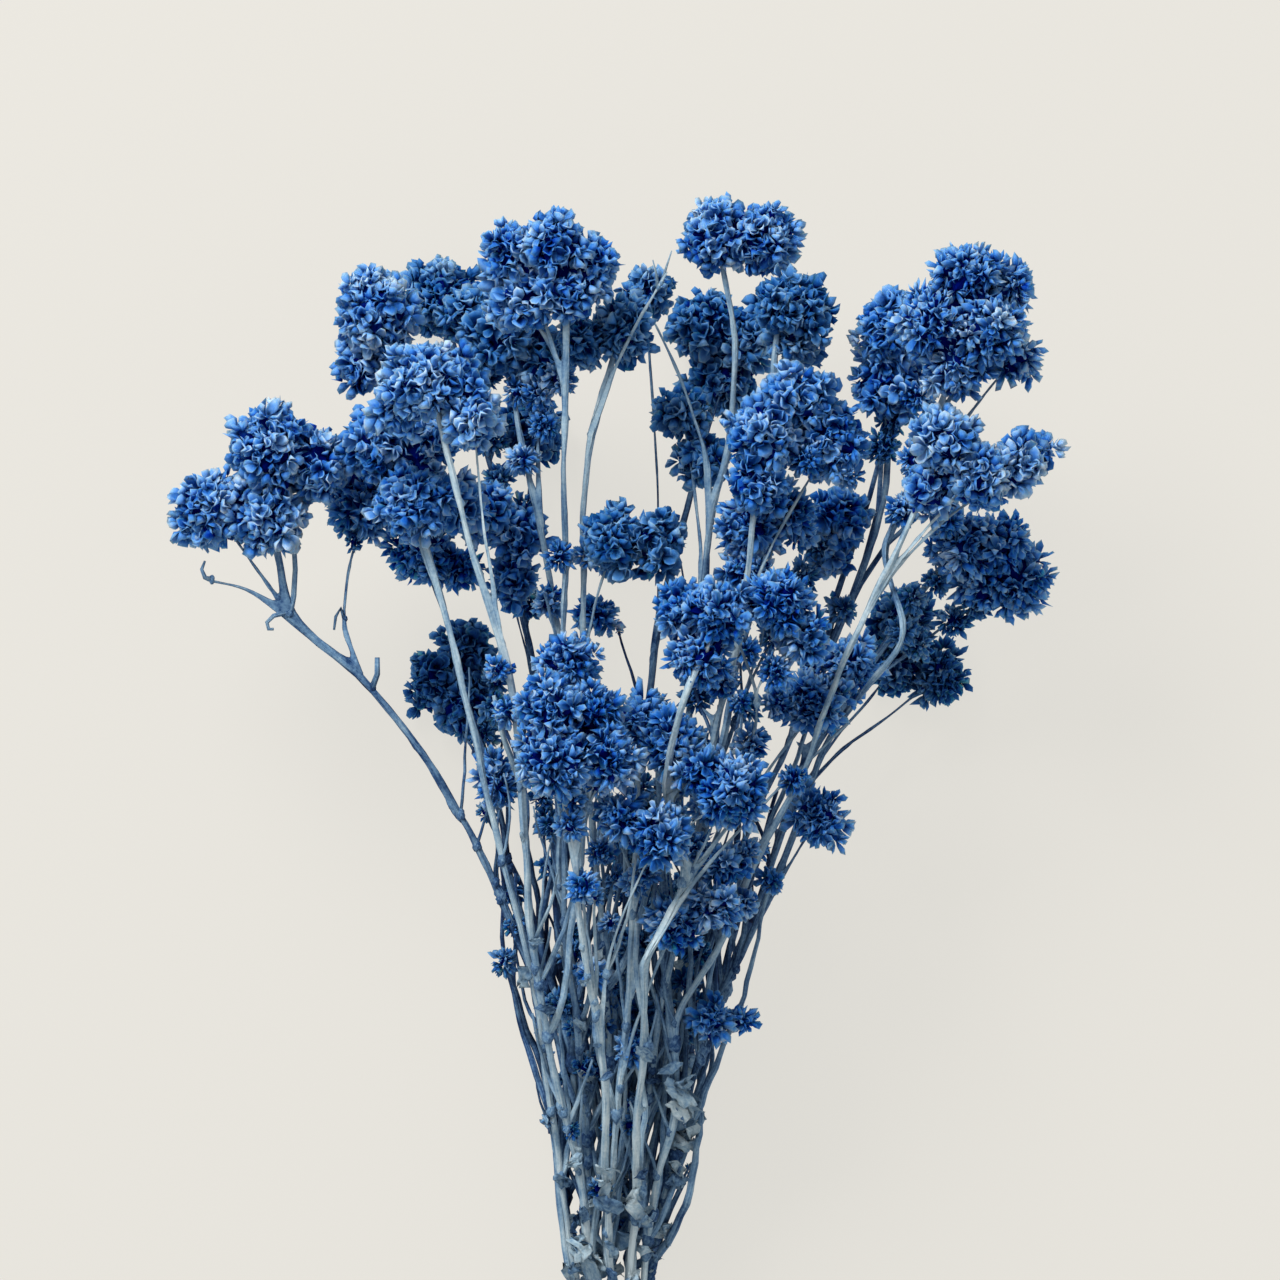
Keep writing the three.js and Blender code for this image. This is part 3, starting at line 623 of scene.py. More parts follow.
# %% [markdown]
# ## A stem
#
# A packed stem has five flat sides and its twigs have three. A bevelled curve would be rounder from the
# start, but a curve has no forks, so the imported form is kept and a Subdivision Surface modifier rounds
# it. Because that also draws it in, every point is then pushed out along its normal by the width that
# was lost. Long faces are cut first, so that slow seeded noise can give the stem its small bends,
# swellings and ribs, and the wood is drawn in a little between its joints, about 27 mm apart. As painted
# light and shade, bark on top of the bunch and on faces that point up is painted paler and bark deep
# inside it navy, so each vertex carries how far up it lies. The cut end keeps its sharp edge through an
# edge crease.

# %% Stem helpers
LONG_EDGE = 12 * MM
SMOOTH_LEVELS = 2
END_DEPTH = 0.5 * MM  # faces this close to the lowest point belong to the cut end


def distance_along(kit):
    """Writes each vertex's way along the stem from its cut end, in metres."""
    along = kit.verts.layers.float.new("along")
    kit.verts.ensure_lookup_table()
    kit.verts.index_update()
    way = {}
    low = min(v.co.y for v in kit.verts)
    heap = [(0.0, v.index) for v in kit.verts if v.co.y < low + END_DEPTH]
    while heap:
        far, index = heapq.heappop(heap)
        if index in way:
            continue
        way[index] = far
        for e in kit.verts[index].link_edges:
            other = e.other_vert(kit.verts[index]).index
            if other not in way:
                heapq.heappush(heap, (far + e.calc_length(), other))
    for v in kit.verts:
        v[along] = way.get(v.index, 0.0)


def mark_cut_end(kit):
    """Gives the cut end its pith, and a crease round it."""
    low = min(v.co.y for v in kit.verts)
    crease = kit.edges.layers.float.new("crease_edge")
    for face in kit.faces:
        if face.normal.y < -0.9 and face.calc_center_median().y < low + END_DEPTH:
            face.material_index = 1
    for edge in kit.edges:
        if len(edge.link_faces) == 2 and sum(f.material_index for f in edge.link_faces) == 1:
            edge[crease] = 1.0


def rounded(kit):
    """The bmesh after a Subdivision Surface modifier."""
    mesh = bpy.data.meshes.new("rounded")
    kit.to_mesh(mesh)
    kit.free()
    holder = bpy.data.objects.new("rounded", mesh)
    bpy.context.scene.collection.objects.link(holder)
    modifier = holder.modifiers.new("round", "SUBSURF")
    modifier.levels = modifier.render_levels = SMOOTH_LEVELS
    done = bpy.data.meshes.new_from_object(holder.evaluated_get(bpy.context.evaluated_depsgraph_get()))
    kit = bmesh.new()
    kit.from_mesh(done)
    kit.normal_update()
    bpy.data.objects.remove(holder)
    for used in (mesh, done):
        bpy.data.meshes.remove(used)
    return kit


# %% How deep in the bunch
SLICE = 10 * MM


def depth_table():
    """The lowest and highest stem in every slice of the bunch, as arrays. Stray tips don't count."""
    heights = {}
    for stem in STEMS:
        for v in frame["nodes"][stem].data.vertices:
            for step in range(-1, 2):
                heights.setdefault(round(v.co.y / SLICE) + step, []).append(v.co.z)
    steps = sorted(heights)
    low, high = ([np.percentile(heights[s], share) for s in steps] for share in (8, 96))
    return np.array(steps) * SLICE, np.array(low), np.array(high)


DEPTHS = depth_table()


def lit_share(point):
    """0 for bark at the bottom of the bunch, 1 for bark on top of it."""
    low, high = (np.interp(point.y, DEPTHS[0], values) for values in DEPTHS[1:])
    return min(1.0, max(0.0, (point.z - low) / (high - low)))


print(f"{len(DEPTHS[0])} slices, the thickest {max(DEPTHS[2] - DEPTHS[1]) / MM:.0f} mm deep")

# %% Dress every stem
LOST_WIDTH = 0.05 * MM
BEND_WIDTH, RIB_RUN, SWELLING_WIDTH, JOINT_SPACING = 19 * MM, 25 * MM, 5 * MM, 27 * MM
SLENDER_FROM, SLENDER_RANGE = 2.6 * MM, 1.6 * MM  # wood counts as slender below this thickness
PALE_FROM, PALE_RANGE = -50 * MM, 50 * MM  # the bark fades from here towards the cut ends


def dress_stem(name):
    """Rounds, bends and ribs a stem's copy, makes it a piece, and returns its count of triangles."""
    kit = merged_copy(name)
    distance_along(kit)
    mark_cut_end(kit)
    bmesh.ops.join_triangles(kit, faces=kit.faces, angle_face_threshold=0.5, angle_shape_threshold=2.0,
                             cmp_materials=True)
    bmesh.ops.subdivide_edges(kit, edges=[e for e in kit.edges if e.calc_length() > LONG_EDGE], cuts=1,
                              use_grid_fill=True)
    kit = rounded(kit)
    tree, stem_tone, moves = SURFACES[name][0], random.Random(name).random(), []
    along = kit.verts.layers.float["along"]
    around = kit.verts.layers.float_vector.new("around")
    slender, tone_and_painted_light = kit.verts.layers.float.new("slender"), kit.verts.layers.float.new("tone_and_painted_light")
    for v in kit.verts:
        hit = tree.ray_cast(v.co - v.normal * RAY_START * MM, -v.normal)
        thick = hit[3] if hit[0] is not None else 2 * MM
        v[around] = v.normal
        v[slender] = min(1.0, max(0.0, (SLENDER_FROM - thick) / SLENDER_RANGE))
        pale_foot = 0.25 * min(1.0, max(0.0, (PALE_FROM - v.co.y) / PALE_RANGE))
        # painted light and shade: paler high in the bunch and on faces that point up, darker deep inside it
        v[tone_and_painted_light] = 0.22 * stem_tone + 0.62 * lit_share(v.co) + 0.20 * max(0.0, v.normal.z) + pale_foot
        bend = noise.noise_vector(v.co / BEND_WIDTH) * 0.8 * MM
        rib = noise.noise(v.normal * 2.2 + Vector((0, 0, v[along] / RIB_RUN)))
        swelling = noise.noise(v.co / SWELLING_WIDTH)
        joint = abs(math.sin(v[along] / JOINT_SPACING * math.pi + stem_tone * 9)) ** 0.35
        slim = min(0.42 * MM, 0.13 * thick) * joint
        moves.append(bend + v.normal * (LOST_WIDTH - slim + (0.18 * rib + 0.22 * swelling) * MM))
    for v, move in zip(kit.verts, moves):
        v.co += move
    settle(kit)
    smooth(kit)
    return triangles_in(make_piece(kit, "bark" + name[4:], [BARK, PITH], "dyed_stem", name))


stem_counts = [dress_stem(name) for name in STEMS]
print(f"{sum(stem_counts)} triangles in {len(stem_counts)} stems, most {max(stem_counts)}")

# %% [markdown]
# ## Side twigs, small clusters, knots and dry leaf scraps
#
# Between the main stems a real bunch is full of small things: side branches, hair-thin twigs, little
# tufts of florets, swollen knots where a twig broke off, and crumpled dry leaves. Each sits on the stem
# that carries it. Its place is found by looking straight down from the camera onto the finished bark,
# from a chosen height, so it is held from every side. A twig could be a bevelled curve, but a curve
# can't carry the values that the bark reads, so it is one circle whose cap is carried step by step
# along a seeded, slowly turning line, which gives one closed tube. Each twig is made in a small bmesh
# and then poured into the whole: a bmesh tool gets slower with every face that the bmesh has.

# %% Find the bark under a point
BARK_TREES = {}
for piece in [o for o in bpy.data.objects if o.name.startswith("bark_")]:
    bark_kit = bmesh.new()
    bark_kit.from_mesh(piece.data)
    BARK_TREES[piece.name] = BVHTree.FromBMesh(bark_kit)
    bark_kit.free()
FRAME_SHIFT = Vector((-1.5, -109.37))  # from the photograph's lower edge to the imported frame, in mm
SEARCH_STEPS, SEARCH_TURN = 48, 2.4  # the search winds outwards from the point
FROM_CAMERA = 200.0  # a height in mm that is above everything


def bark_under(x, y, below=FROM_CAMERA):
    """The highest bark under a point of the photograph, given in mm, as (point, normal), or None."""
    for step in range(SEARCH_STEPS):
        turn, far = step * SEARCH_TURN, 0.55 * math.sqrt(step)
        px, py = x + FRAME_SHIFT.x + far * math.cos(turn), y + FRAME_SHIFT.y + far * math.sin(turn)
        hits = [t.ray_cast(Vector((px, py, below)) * MM, Vector((0, 0, -1))) for t in BARK_TREES.values()]
        hits = [(h[0], h[1]) for h in hits if h[0] is not None]
        if hits:
            return max(hits, key=lambda h: h[0].z)
    return None


print(f"{len(BARK_TREES)} barks to look for")

# %% Twigs and knots
TWIG_SIDES, TWIG_STEP = 6, 4.5 * MM
LOWEST, HIGHEST = 1.5 * MM, 122 * MM  # a twig turns along the table, or below the highest head


def empty_kit():
    """A new bmesh with the values that bark and florets read."""
    kit = bmesh.new()
    for layer in ("along", "slender", "rim", "hollow_and_painted_shade", "tone_and_painted_light"):
        kit.verts.layers.float.new(layer)
    kit.verts.layers.float_vector.new("around")
    return kit


def pour(small, whole):
    """Moves a small finished bmesh into a whole one."""
    mesh = bpy.data.meshes.new("poured")
    small.to_mesh(mesh)
    small.free()
    whole.from_mesh(mesh)
    bpy.data.meshes.remove(mesh)


def grow_twig(whole, points, widths, slender):
    """One closed tube through the points."""
    kit = empty_kit()
    layers = kit.verts.layers
    way, face, before = 0.0, None, None
    for i, (point, width) in enumerate(zip(points, widths)):
        ahead = (points[min(i + 1, len(points) - 1)] - points[max(i - 1, 0)]).normalized()
        if i == 0:
            turn = ahead.to_track_quat("Z", "Y").to_matrix().to_4x4()
            ring = bmesh.ops.create_circle(kit, cap_ends=True, segments=TWIG_SIDES, radius=width / 2,
                                           matrix=Matrix.Translation(point) @ turn)["verts"]
            face = ring[0].link_faces[0]
        else:
            way += (point - points[i - 1]).length
            made = bmesh.ops.extrude_face_region(kit, geom=[face], use_keep_orig=i == 1)["geom"]
            face = next(f for f in made if isinstance(f, bmesh.types.BMFace))
            taper = Matrix.Scale(width / widths[i - 1], 4)
            turn = before.rotation_difference(ahead).to_matrix().to_4x4() @ taper
            move = Matrix.Translation(point) @ turn @ Matrix.Translation(-points[i - 1])
            bmesh.ops.transform(kit, matrix=move, verts=face.verts[:])
        before = ahead
        for v in face.verts:
            v[layers.float["along"]] = way
            v[layers.float_vector["around"]] = (v.co - point).normalized()
            # painted light and shade: twig bark is paler high in the bunch
            v[layers.float["slender"]], v[layers.float["tone_and_painted_light"]] = slender, 0.1 + 0.8 * lit_share(v.co)
    pour(kit, whole)


def twig_line(start, heading, length, sway, rng):
    """A seeded line that bends slowly back towards the stems' own direction."""
    points, here, ahead = [start], start.copy(), heading.normalized()
    for _ in range(max(2, round(length / TWIG_STEP))):
        swing = Vector((rng.uniform(-1, 1), rng.uniform(-0.3, 1), rng.uniform(-1, 1)))
        ahead = (ahead + swing * sway + Vector((0, 0.05, 0))).normalized()
        here = here + ahead * TWIG_STEP
        here.z = min(max(here.z, LOWEST), HIGHEST)
        points.append(here.copy())
    return points


def knot_on(whole, point, normal, size):
    """A small swollen knot, longer along the stem than across."""
    kit = empty_kit()
    made = bmesh.ops.create_icosphere(kit, subdivisions=2, radius=1.0)["verts"]
    for v in made:
        lump = 1 + 0.45 * noise.noise(v.co * 1.7 + point * 900)
        v[kit.verts.layers.float_vector["around"]] = v.co.copy()
        v[kit.verts.layers.float["slender"]] = 0.25
        # painted light and shade: a knot is paler high in the bunch
        v[kit.verts.layers.float["tone_and_painted_light"]] = 0.1 + 0.5 * lit_share(point)
        shaped = Vector((v.co.x * 0.75, v.co.y * 1.15, v.co.z * 0.75)) * lump * size
        v.co = point - normal * size * 0.35 + shaped
    pour(kit, whole)


print(f"twigs have {TWIG_SIDES} sides, and a ring every {TWIG_STEP / MM} mm")

# %% Seeded side twigs and side branches
BUNCH_X = 3  # the bunch's middle at the photograph's lower edge, in mm
TWIG_SORTS = (  # tries, then in mm y, lengths, widths and tuft sizes, then sway, slender, share with a
    # tuft, and the heights to look down from
    (150, (-2, 185), (12, 46), (1.0, 1.7), (1.6, 3.4), 0.16, 0.9, 0.42, (FROM_CAMERA, 110.0, 85.0, 70.0)),
    (46, (-8, 95), (45, 110), (1.9, 3.0), (3.0, 5.0), 0.20, 0.1, 1.0, (FROM_CAMERA, 110.0, 85.0, 70.0)),
    (80, (-15, 85), (45, 95), (1.8, 2.8), (2.5, 4.0), 0.14, 0.3, 0.42, (44.0, 36.0, 28.0)))


def spread_at(y):
    """Half the width of the bunch in mm, y mm above the photograph's lower edge."""
    return 15 + 0.27 * max(0.0, y)


twig_rng = random.Random("side twigs")
twig_kit, tuft_places, twig_count = empty_kit(), [], 0
for tries, reach, lengths, widths, tuft_sizes, sway, slender, tuft_share, heights in TWIG_SORTS:
    for _ in range(tries):
        y = twig_rng.uniform(*reach)
        x = BUNCH_X + twig_rng.uniform(-0.95, 0.95) * (spread_at(y) - BUNCH_X)
        found = bark_under(x, y, twig_rng.choice(heights))
        if found is None:
            continue
        start, normal = found
        heading = normal * twig_rng.uniform(0.1, 0.5) + Vector((twig_rng.uniform(-0.4, 0.4), 1.0, 0))
        length = twig_rng.uniform(*lengths) * MM
        line = twig_line(start - normal * 0.8 * MM, heading, length, sway, twig_rng)
        middle = (BUNCH_X + FRAME_SHIFT.x) * MM
        if any(abs(p.x - middle) > spread_at(p.y / MM - FRAME_SHIFT.y) * MM for p in line):
            continue
        base = twig_rng.uniform(*widths) * MM
        tapers = [1 - 0.5 * i / (len(line) - 1) for i in range(len(line))]
        grow_twig(twig_kit, line, [base * taper * twig_rng.uniform(0.9, 1.1) for taper in tapers], slender)
        knot_on(twig_kit, start, normal, 0.75 * base + twig_rng.uniform(0.4, 1.0) * MM)
        twig_count += 1
        if twig_rng.random() < tuft_share:
            tuft_places.append((line[-1], twig_rng.uniform(*tuft_sizes) * MM))
print(f"{twig_count} side twigs and side branches, {len(tuft_places)} with a tuft")

# %% Twigs that the photograph shows one by one
SET_TWIGS = (  # look down from, first and last width in mm, then the line's x and y in mm
    (200, 2.0, 0.7, (-120, 209), (-122, 209.5), (-123, 212), (-122, 214.5)),
    (200, 1.8, 0.9, (-97, 200), (-101, 199), (-103, 197), (-102.5, 195), (-101, 195)),
    (200, 2.2, 1.7, (-70, 178), (-68.5, 182), (-68.5, 187)),
    (200, 1.5, 0.7, (-77, 198.5), (-78, 201.5), (-79.5, 199), (-80, 195)),
    (200, 2.1, 1.6, (-96, 200), (-95, 205), (-94.5, 213), (-95, 222)),
    (200, 1.3, 0.4, (17, 297), (16.5, 301), (15.5, 305)),
    (200, 1.2, 0.4, (17.5, 297), (19, 302), (20.5, 306.5)),
    (200, 2.4, 1.6, (67, 190), (72, 202), (77, 216), (81, 231), (82, 246)),
    (200, 2.3, 1.5, (70, 193), (77, 207), (85, 219), (95, 228)),
    (90, 2.4, 1.6, (64, 192), (67, 207), (72, 222), (77, 237), (81, 252)),
    (200, 2.2, 1.4, (24, 128), (30, 140), (37, 149), (42, 160)),
    (200, 2.4, 1.3, (-28, 150), (-33, 163), (-36, 176)))
set_count = 0
for look_from, first, last, *line in SET_TWIGS:
    seat = bark_under(*line[0], look_from)
    if seat is not None:
        points = [seat[0] - seat[1] * 0.6 * MM]
        for before, after in zip(line, line[1:]):
            points.append(points[-1] + Vector((after[0] - before[0], after[1] - before[1], 0.4)) * MM)
        taper = [(first + (last - first) * i / (len(points) - 1)) * MM for i in range(len(points))]
        grow_twig(twig_kit, points, taper, 0.3)
        knot_on(twig_kit, seat[0], seat[1], first * 0.65 * MM)
        set_count += 1
bmesh.ops.recalc_face_normals(twig_kit, faces=twig_kit.faces)
smooth(twig_kit)
settle(twig_kit)
twigs = make_piece(twig_kit, "side_twigs_and_knots", [BARK], "dyed_stem")
print(f"{set_count} twigs set one by one, {triangles_in(twigs)} triangles of twigs and knots in all")

# %% [markdown]
# ## Tufts
#
# The photograph shows loose florets all through the middle of the bunch, most of them in the gaps
# between the large heads. A particle system could scatter them, but it would be lost in the export and
# would fill other places too. So each entry below is such a gap: its middle and its half size in mm,
# the height from which to look down for a stem, how many tufts to try, and their size. In a gap with
# many tufts every second one grows from the nearest head, so that neighbouring heads run together.
# Tufts that hang deep among the stems get the navy copy of the floret dye, as painted shade.

# %% Small tufts of florets
GAPS = (  # x, y, half width, half height, look down from, tries, smallest, largest
    (-82, 265, 3, 3, 200, 1, 4, 4), (-25, 201, 9, 8, 200, 6, 4, 6), (2, 197, 8, 5, 200, 5, 3.5, 5),
    (-14, 256, 9, 16, 75, 14, 4, 6.5), (-28, 268, 10, 5, 75, 6, 4, 6), (0, 218, 17, 6, 90, 8, 4, 6),
    (87, 258, 15, 7, 90, 9, 5, 7), (62, 246, 10, 6, 90, 6, 4.5, 6.5), (54, 222, 12, 12, 90, 12, 4, 6.5),
    (46, 189, 8, 9, 200, 8, 3.5, 6), (70, 198, 8, 5, 90, 5, 3.5, 5.5), (106, 203, 12, 8, 90, 8, 4, 6),
    (-34, 171, 5, 21, 200, 12, 3, 5), (-3, 130, 21, 17, 200, 24, 3, 5.5), (-30, 240, 6, 9, 90, 7, 3.5, 5.5),
    (6, 81, 7, 18, 58, 14, 2.5, 4.5), (-7, 77, 5, 16, 58, 8, 2.5, 4), (-33, 262, 6, 10, 90, 6, 4, 6),
    (36, 170, 14, 10, 90, 12, 4, 6), (88, 255, 14, 14, 90, 14, 4.5, 6.5), (84, 199, 20, 9, 80, 14, 4, 6.5),
    (62, 246, 10, 8, 100, 8, 4.5, 6.5), (3, 95, 14, 30, 45, 26, 3, 4.5), (-10, 235, 6, 22, 70, 10, 4, 6),
    (58, 178, 10, 8, 80, 8, 3.5, 5.5), (96, 232, 10, 8, 85, 8, 4, 6), (-79, 221, 2, 2, 200, 1, 2.5, 2.5),
    (-60, 282, 16, 3, 110, 6, 4, 6), (38, 116, 3, 3, 200, 1, 5, 5), (39, 130, 3, 3, 200, 1, 5, 5),
    (53, 150, 4, 4, 200, 2, 4.5, 5), (20, 150, 20, 14, 80, 12, 3, 5), (-20, 73, 2, 2, 200, 1, 2.5, 2.5))
MANY_TUFTS = 5
HEAD_REACH, HEAD_TOP = 9 * MM, 100  # how near a head has to be, and the heads' usual top in mm
DEEP = 62 * MM


def add_tuft(whole, point, radius, rng):
    """A loose ball of florets round a point."""
    kit = empty_kit()
    core = bmesh.ops.create_icosphere(kit, subdivisions=1, radius=radius * 0.45,
                                      matrix=Matrix.Translation(point))["verts"]
    # painted shade: the tuft's core gets the darkest values
    for v in core:
        v[kit.verts.layers.float["hollow_and_painted_shade"]], v[kit.verts.layers.float["tone_and_painted_light"]] = 1.0, -0.5
    count, places = max(4, round((radius / MM) ** 1.5)), []
    for i in range(count):
        down, turn = math.acos(1 - 2 * (i + 0.5) / count), i * GOLDEN_ANGLE + rng.uniform(-0.4, 0.4)
        out = Vector((math.sin(down) * math.cos(turn), math.sin(down) * math.sin(turn), math.cos(down)))
        place = point + out * radius * rng.uniform(0.25, 0.5)
        places.append((place, out, rng.uniform(0.0, 0.7), rng.random()))
    plant(kit, places, POINTED, rng, min(3.2 * MM, radius * 0.8))
    pour(kit, whole)


def head_beside(x, y, z):
    """The nearest head surface to a point of the photograph at height z, as (point, normal), or None."""
    point = Vector((x + FRAME_SHIFT.x, y + FRAME_SHIFT.y, z)) * MM
    near = [SURFACES[name][0].find_nearest(point, HEAD_REACH) for name in HEADS]
    near = [n for n in near if n[0] is not None]
    return min(near, key=lambda n: n[3])[:2] if near else None


tuft_rng = random.Random("tufts")
for x, y, wide, high, look_from, tries, smallest, largest in GAPS:
    for go in range(tries):
        far, turn = math.sqrt(tuft_rng.random()), tuft_rng.uniform(0, math.tau)
        px, py = x + wide * far * math.cos(turn), y + high * far * math.sin(turn)
        found = None
        if go % 2 and tries > MANY_TUFTS:
            found = head_beside(px, py, min(look_from, HEAD_TOP) - tuft_rng.uniform(0, 35))
        found = found or bark_under(px, py, look_from)
        radius = tuft_rng.uniform(smallest, largest) * MM
        if found is not None and all((found[0] - p).length > 0.75 * (radius + r) for p, r in tuft_places):
            tuft_places.append((found[0] + found[1] * 0.3 * radius, radius))
# painted shade: tufts deep among the stems get the darker navy copy
for name, dye_name, wanted in (("small_tufts", "middle", [t for t in tuft_places if t[0].z > DEEP]),
                               ("deep_tufts", "navy", [t for t in tuft_places if t[0].z <= DEEP])):
    tuft_kit = empty_kit()
    for place, radius in wanted:
        add_tuft(tuft_kit, place, radius, tuft_rng)
    settle(tuft_kit)
    piece = make_piece(tuft_kit, name, [FLORET_DYES[dye_name]], "dyed_floret")
    print(f"{name}: {len(wanted)} tufts, {triangles_in(piece)} triangles")

# %% [markdown]
# ## Leaf scraps
#
# Low on the stems hang the remains of dry leaves. Cloth simulation could crumple a leaf, but these are
# only a few millimetres long, so a scrap starts as a small grid, cut to a leaf outline. It is rolled,
# crumpled with seeded noise and given a thickness. Where the photograph shows whole sheaths of them, on
# the right edge of the neck and around the gathered stems, they crowd together.

# %% Crumpled dry leaf scraps
SCRAP_THICKNESS = 0.3 * MM
SCRAPS = (  # x, y and size, in mm
    (-24, 92, 8), (-18, 47, 5), (24, 50, 8), (22, 58, 6), (24, 42, 7), (-1, 24, 8), (-8, 8, 9), (4, 12, 9),
    (12, 5, 8), (-3, 2, 8), (9, 18, 7), (-12, 16, 6), (18, 12, 7), (20, 28, 6), (-15, 30, 5), (3, 33, 6))
SCRAP_CROWDS = (  # how many, then the ranges of y, x and size, in mm
    (60, (-100, 20), (-11, 15), (2.5, 6)), (36, (8, 66), (19, 26), (4, 8)),
    (40, (-4, 40), (-12, 20), (3.5, 7)), (24, (40, 110), (-20, 24), (2.5, 5)))


def add_scrap(whole, point, normal, size, rng):
    """A dry leaf, curled and crumpled, as a thin closed sheet."""
    kit = empty_kit()
    made = bmesh.ops.create_grid(kit, x_segments=3, y_segments=6, size=0.5)["verts"]
    facing = normal + Vector((rng.uniform(-0.5, 0.5), rng.uniform(-0.5, 0.5), 0))
    turn = facing.to_track_quat("Z", "Y").to_matrix()
    spin = Matrix.Rotation(rng.uniform(-0.6, 0.6), 3, "Z")
    seed = Vector((rng.random(), rng.random(), rng.random())) * 50
    roll, tone_and_painted_light = rng.uniform(1.5, 3.2), rng.uniform(0.4, 1.2)
    for v in made:
        leaf = 0.55 * math.cos(v.co.y * 2.6) + 0.12
        x, y = v.co.x * leaf * size, v.co.y * size * 1.5
        crumple = noise.noise_vector(Vector((v.co.x * 2.2, v.co.y * 3.2, 0)) + seed) * size * 0.28
        bend = Vector((x, y, abs(v.co.x) * size * 0.45 + math.cos(v.co.y * roll) * size * 0.18)) + crumple
        v[kit.verts.layers.float_vector["around"]] = v.co * 2
        v[kit.verts.layers.float["slender"]], v[kit.verts.layers.float["tone_and_painted_light"]] = 0.0, tone_and_painted_light * 0.8
        v.co = point + normal * size * 0.05 + turn @ (spin @ bend)
    bmesh.ops.solidify(kit, geom=kit.faces[:], thickness=SCRAP_THICKNESS)
    pour(kit, whole)


scrap_rng = random.Random("leaf scraps")
scrap_kit = empty_kit()
for x, y, size in SCRAPS:
    found = bark_under(x, y)
    if found is not None:
        add_scrap(scrap_kit, found[0], found[1], size * MM, scrap_rng)
for count, rows, columns, sizes in SCRAP_CROWDS:
    for _ in range(count):
        x, y = scrap_rng.uniform(*columns), scrap_rng.uniform(*rows)
        found = bark_under(x, y, scrap_rng.choice((FROM_CAMERA, 90.0, 70.0, 50.0)))
        if found is not None:
            add_scrap(scrap_kit, found[0], found[1], scrap_rng.uniform(*sizes) * MM, scrap_rng)
smooth(scrap_kit)
settle(scrap_kit)
scraps = make_piece(scrap_kit, "dry_leaf_scraps", [BARK], "dyed_stem")
print(f"{triangles_in(scraps)} triangles of leaf scraps")

# %% [markdown]
# ## The band
#
# A plain rubber band holds the stems below the part that the photograph shows. It is wound three times
# round them. A torus could stand for each turn, but it would lie round and level, and the stems hold
# theirs tilted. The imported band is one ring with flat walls, so it gives the middle, the tilt and the
# two radii, and three round turns are made inside its width. Each is a circle carried round the ring
# with a little seeded rise and fall, so that the turns press on each other as wound rubber does.


# %% Natural rubber
BLOOM_WIDTH, PORE_WIDTH = 3 * MM, 0.5 * MM


def rubber_material():
    """Natural rubber. Smooth and a little waxy, with soft highlights and a faint bloom on its skin."""
    material, tree = new_material("natural_rubber")
    place = add(tree, "ShaderNodeTexCoord").outputs["Object"]
    bloom = add(tree, "ShaderNodeTexNoise", {"Vector": place, "Scale": 1 / BLOOM_WIDTH, "Detail": 3.0})
    pores = add(tree, "ShaderNodeTexNoise", {"Vector": place, "Scale": 1 / PORE_WIDTH, "Detail": 2.0})
    colour = add(tree, "ShaderNodeValToRGB", {"Fac": bloom.outputs["Fac"]},
                 stops=((0.3, "#A77B45"), (0.7, "#C39A62")))
    skin = add(tree, "ShaderNodeBump", {
        "Height": pores.outputs["Fac"], "Strength": 0.3, "Distance": 0.2 * MM})
    shader = add(tree, "ShaderNodeBsdfPrincipled", {
        "Base Color": colour.outputs["Color"], "Roughness": 0.48, "Specular IOR Level": 0.4,
        "Normal": skin.outputs[0]})
    finish_shader(tree, shader)
    return material


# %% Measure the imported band
band_corners = [v.co.copy() for v in frame["nodes"]["band"].data.vertices]
band_middle = sum(band_corners, Vector()) / len(band_corners)
spread = np.array([p - band_middle for p in band_corners])
band_axis = Vector(np.linalg.svd(spread, full_matrices=False)[2][2])
band_axis *= math.copysign(1, band_axis.y)
across = [(p - band_middle) - band_axis * (p - band_middle).dot(band_axis) for p in band_corners]
inner, outer = min(a.length for a in across), max(a.length for a in across)
half_width = max(abs((p - band_middle).dot(band_axis)) for p in band_corners)
side = band_axis.orthogonal().normalized()
print(f"the packed band: radii {inner / MM:.1f} and {outer / MM:.1f} mm, {2 * half_width / MM:.1f} mm wide")

# %% Three turns of rubber
TURNS, STEPS, AROUND = 3, 72, 12
WAVE_HEIGHT, SWELL_SHARE = 0.12 * MM, 0.05
turn_half_width, thick = half_width / TURNS, (outer - inner) / 2

band_kit = bmesh.new()
band_rng = random.Random("band")
for turn_number in range(TURNS):
    rise = (turn_number - (TURNS - 1) / 2) * 2 * half_width / TURNS
    wave, swell = band_rng.uniform(0, math.tau), band_rng.uniform(0, math.tau)
    rings = []
    for step in range(STEPS):
        turned = math.tau * step / STEPS
        out = Matrix.Rotation(turned, 3, band_axis) @ side
        lift = rise + WAVE_HEIGHT * math.sin(2 * turned + wave)
        centre = band_middle + out * (inner + outer) / 2 + band_axis * lift
        plane = Matrix((out, band_axis, out.cross(band_axis))).transposed().to_4x4()
        wide = turn_half_width * (1.0 + SWELL_SHARE * math.sin(3 * turned + swell))
        ring = bmesh.ops.create_circle(
            band_kit, segments=AROUND, radius=1.0,
            matrix=Matrix.Translation(centre) @ plane @ Matrix.Diagonal((thick, wide, 1, 1)))["verts"]
        rings.append([e for v, after in zip(ring, ring[1:] + ring[:1])
                      for e in v.link_edges if after in e.verts])
    for one, following in zip(rings, rings[1:] + rings[:1]):
        bmesh.ops.bridge_loops(band_kit, edges=one + following)
bmesh.ops.recalc_face_normals(band_kit, faces=band_kit.faces)
smooth(band_kit)
band = make_piece(band_kit, "wound_band", [rubber_material()], "rubber_band", "band")
print(f"{TURNS} turns, {triangles_in(band)} triangles, {2 * inner / MM:.1f} mm inside")

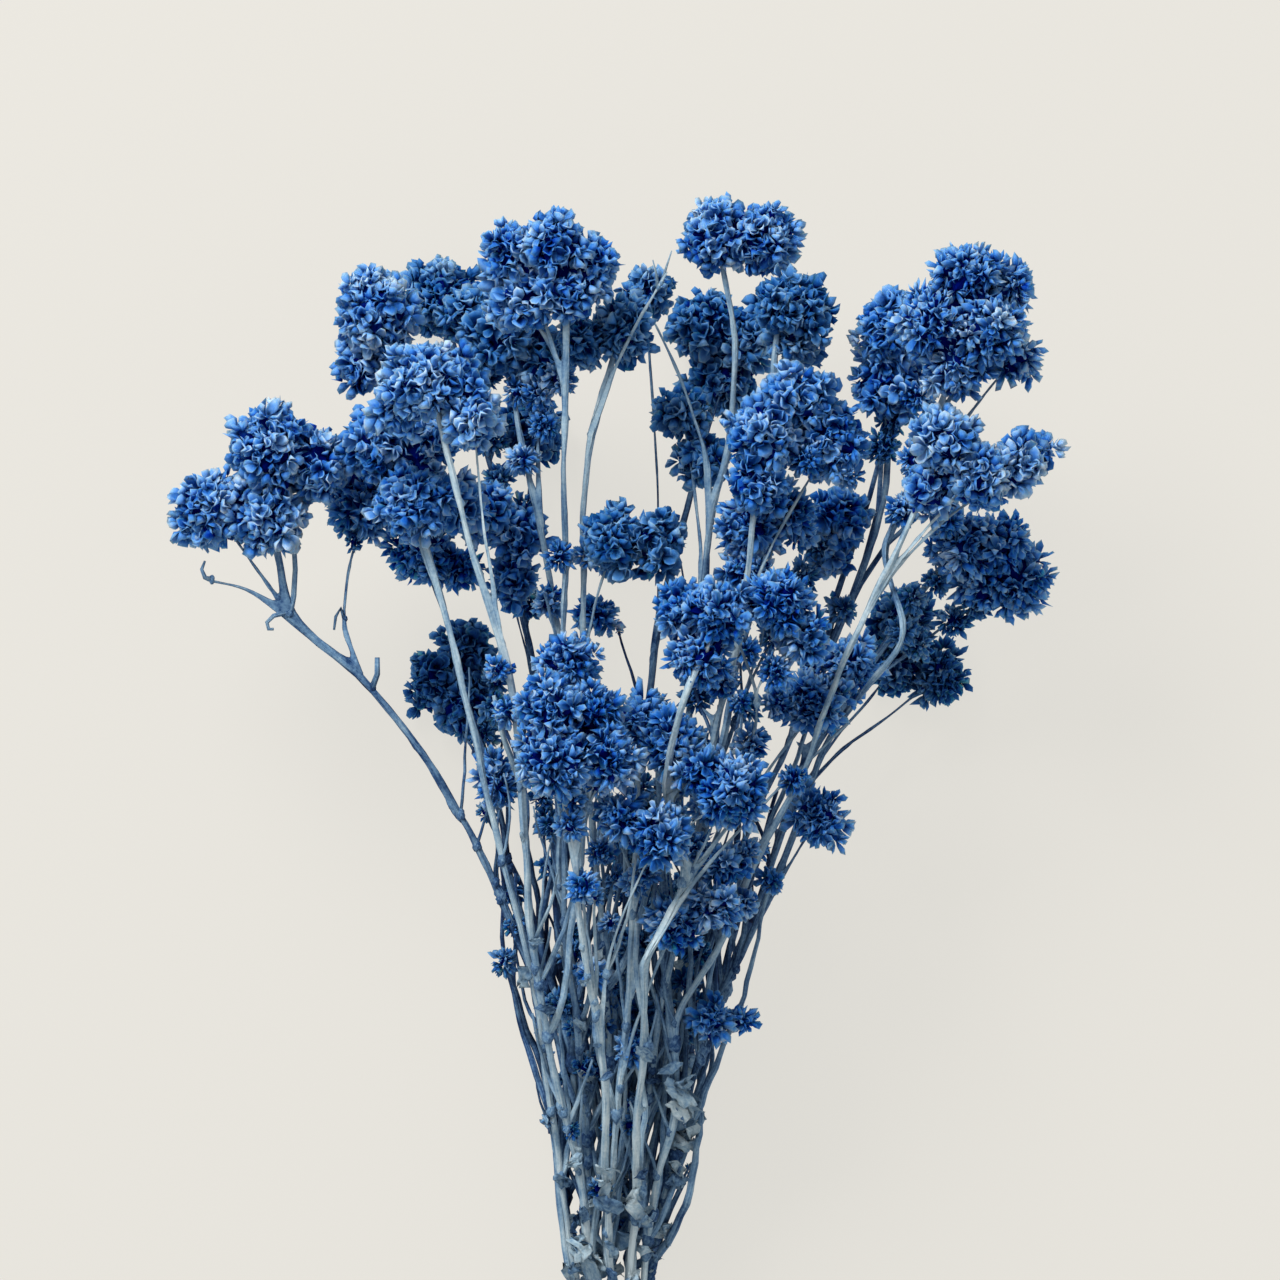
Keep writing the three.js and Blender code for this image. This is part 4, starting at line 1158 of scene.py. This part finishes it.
# %% [markdown]
# ## Table and light
#
# The photograph has a plain warm white ground and soft light with hardly a shadow. Several large lamps
# round the bunch could give that. A bright, even sky does it with nothing to place, on a large plane
# that glows a little, so that shadows stay faint. One large soft lamp at the top of the picture and to
# the left models the heads, so that their upper sides are lighter than their undersides.


# %% Table, lamp and sky
TABLE_HALF = 6.0
SKY_STRENGTH = 0.68


def table_material():
    """Backlit white acrylic sheet. It glows a little from within, so shadows on it stay faint."""
    material, tree = new_material("backlit_white_acrylic")
    shader = add(tree, "ShaderNodeBsdfPrincipled", {
        "Base Color": dye("#565350"), "Roughness": 1.0, "Specular IOR Level": 0.0,
        "Emission Color": dye("#F4F2EB"), "Emission Strength": 0.75})
    finish_shader(tree, shader)
    return material


table_kit = bmesh.new()
bmesh.ops.create_grid(table_kit, x_segments=1, y_segments=1, size=TABLE_HALF)
table_mesh = bpy.data.meshes.new("table")
table_kit.to_mesh(table_mesh)
table_kit.free()
table_mesh.materials.append(table_material())
table = bpy.data.objects.new("table", table_mesh)
bpy.context.scene.collection.objects.link(table)
table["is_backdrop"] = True


def lamp(name, place, aim, size, watts, colour):
    """A square soft lamp at a place, turned to its aim."""
    data = bpy.data.lights.new(name, "AREA")
    data.size, data.energy, data.color = size, watts, dye(colour)[:3]
    light = bpy.data.objects.new(name, data)
    turn = (Vector(place) - Vector(aim)).to_track_quat("Z", "Y").to_matrix().to_4x4()
    light.matrix_world = Matrix.Translation(place) @ turn
    bpy.context.scene.collection.objects.link(light)


lamp("window", (-0.7, 1.25, 1.3), (0, 0.05, 0.05), 0.8, 42, "#FFFDF8")
world = bpy.data.worlds.new("soft_room")
bpy.context.scene.world = world
world.use_nodes = True
world.node_tree.nodes["Background"].inputs["Color"].default_value = dye("#FFFEFB")
world.node_tree.nodes["Background"].inputs["Strength"].default_value = SKY_STRENGTH
bpy.context.scene.view_settings.view_transform = "Standard"
print("table, one soft lamp and an even sky")

# %% [markdown]
# ## Measure and finish
#
# How far the finished bunch reaches past the imported model's box on each side is printed. The finished
# bunch has to stay in the imported model's box.

# %% Finish
shown_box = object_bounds()
for axis in range(3):
    grow_low = (solid_box[0][axis] - shown_box[0][axis]) / MM
    grow_high = (shown_box[1][axis] - solid_box[1][axis]) / MM
    print(f"axis {axis}: {grow_low:.2f} mm past the low side, {grow_high:.2f} mm past the high side")
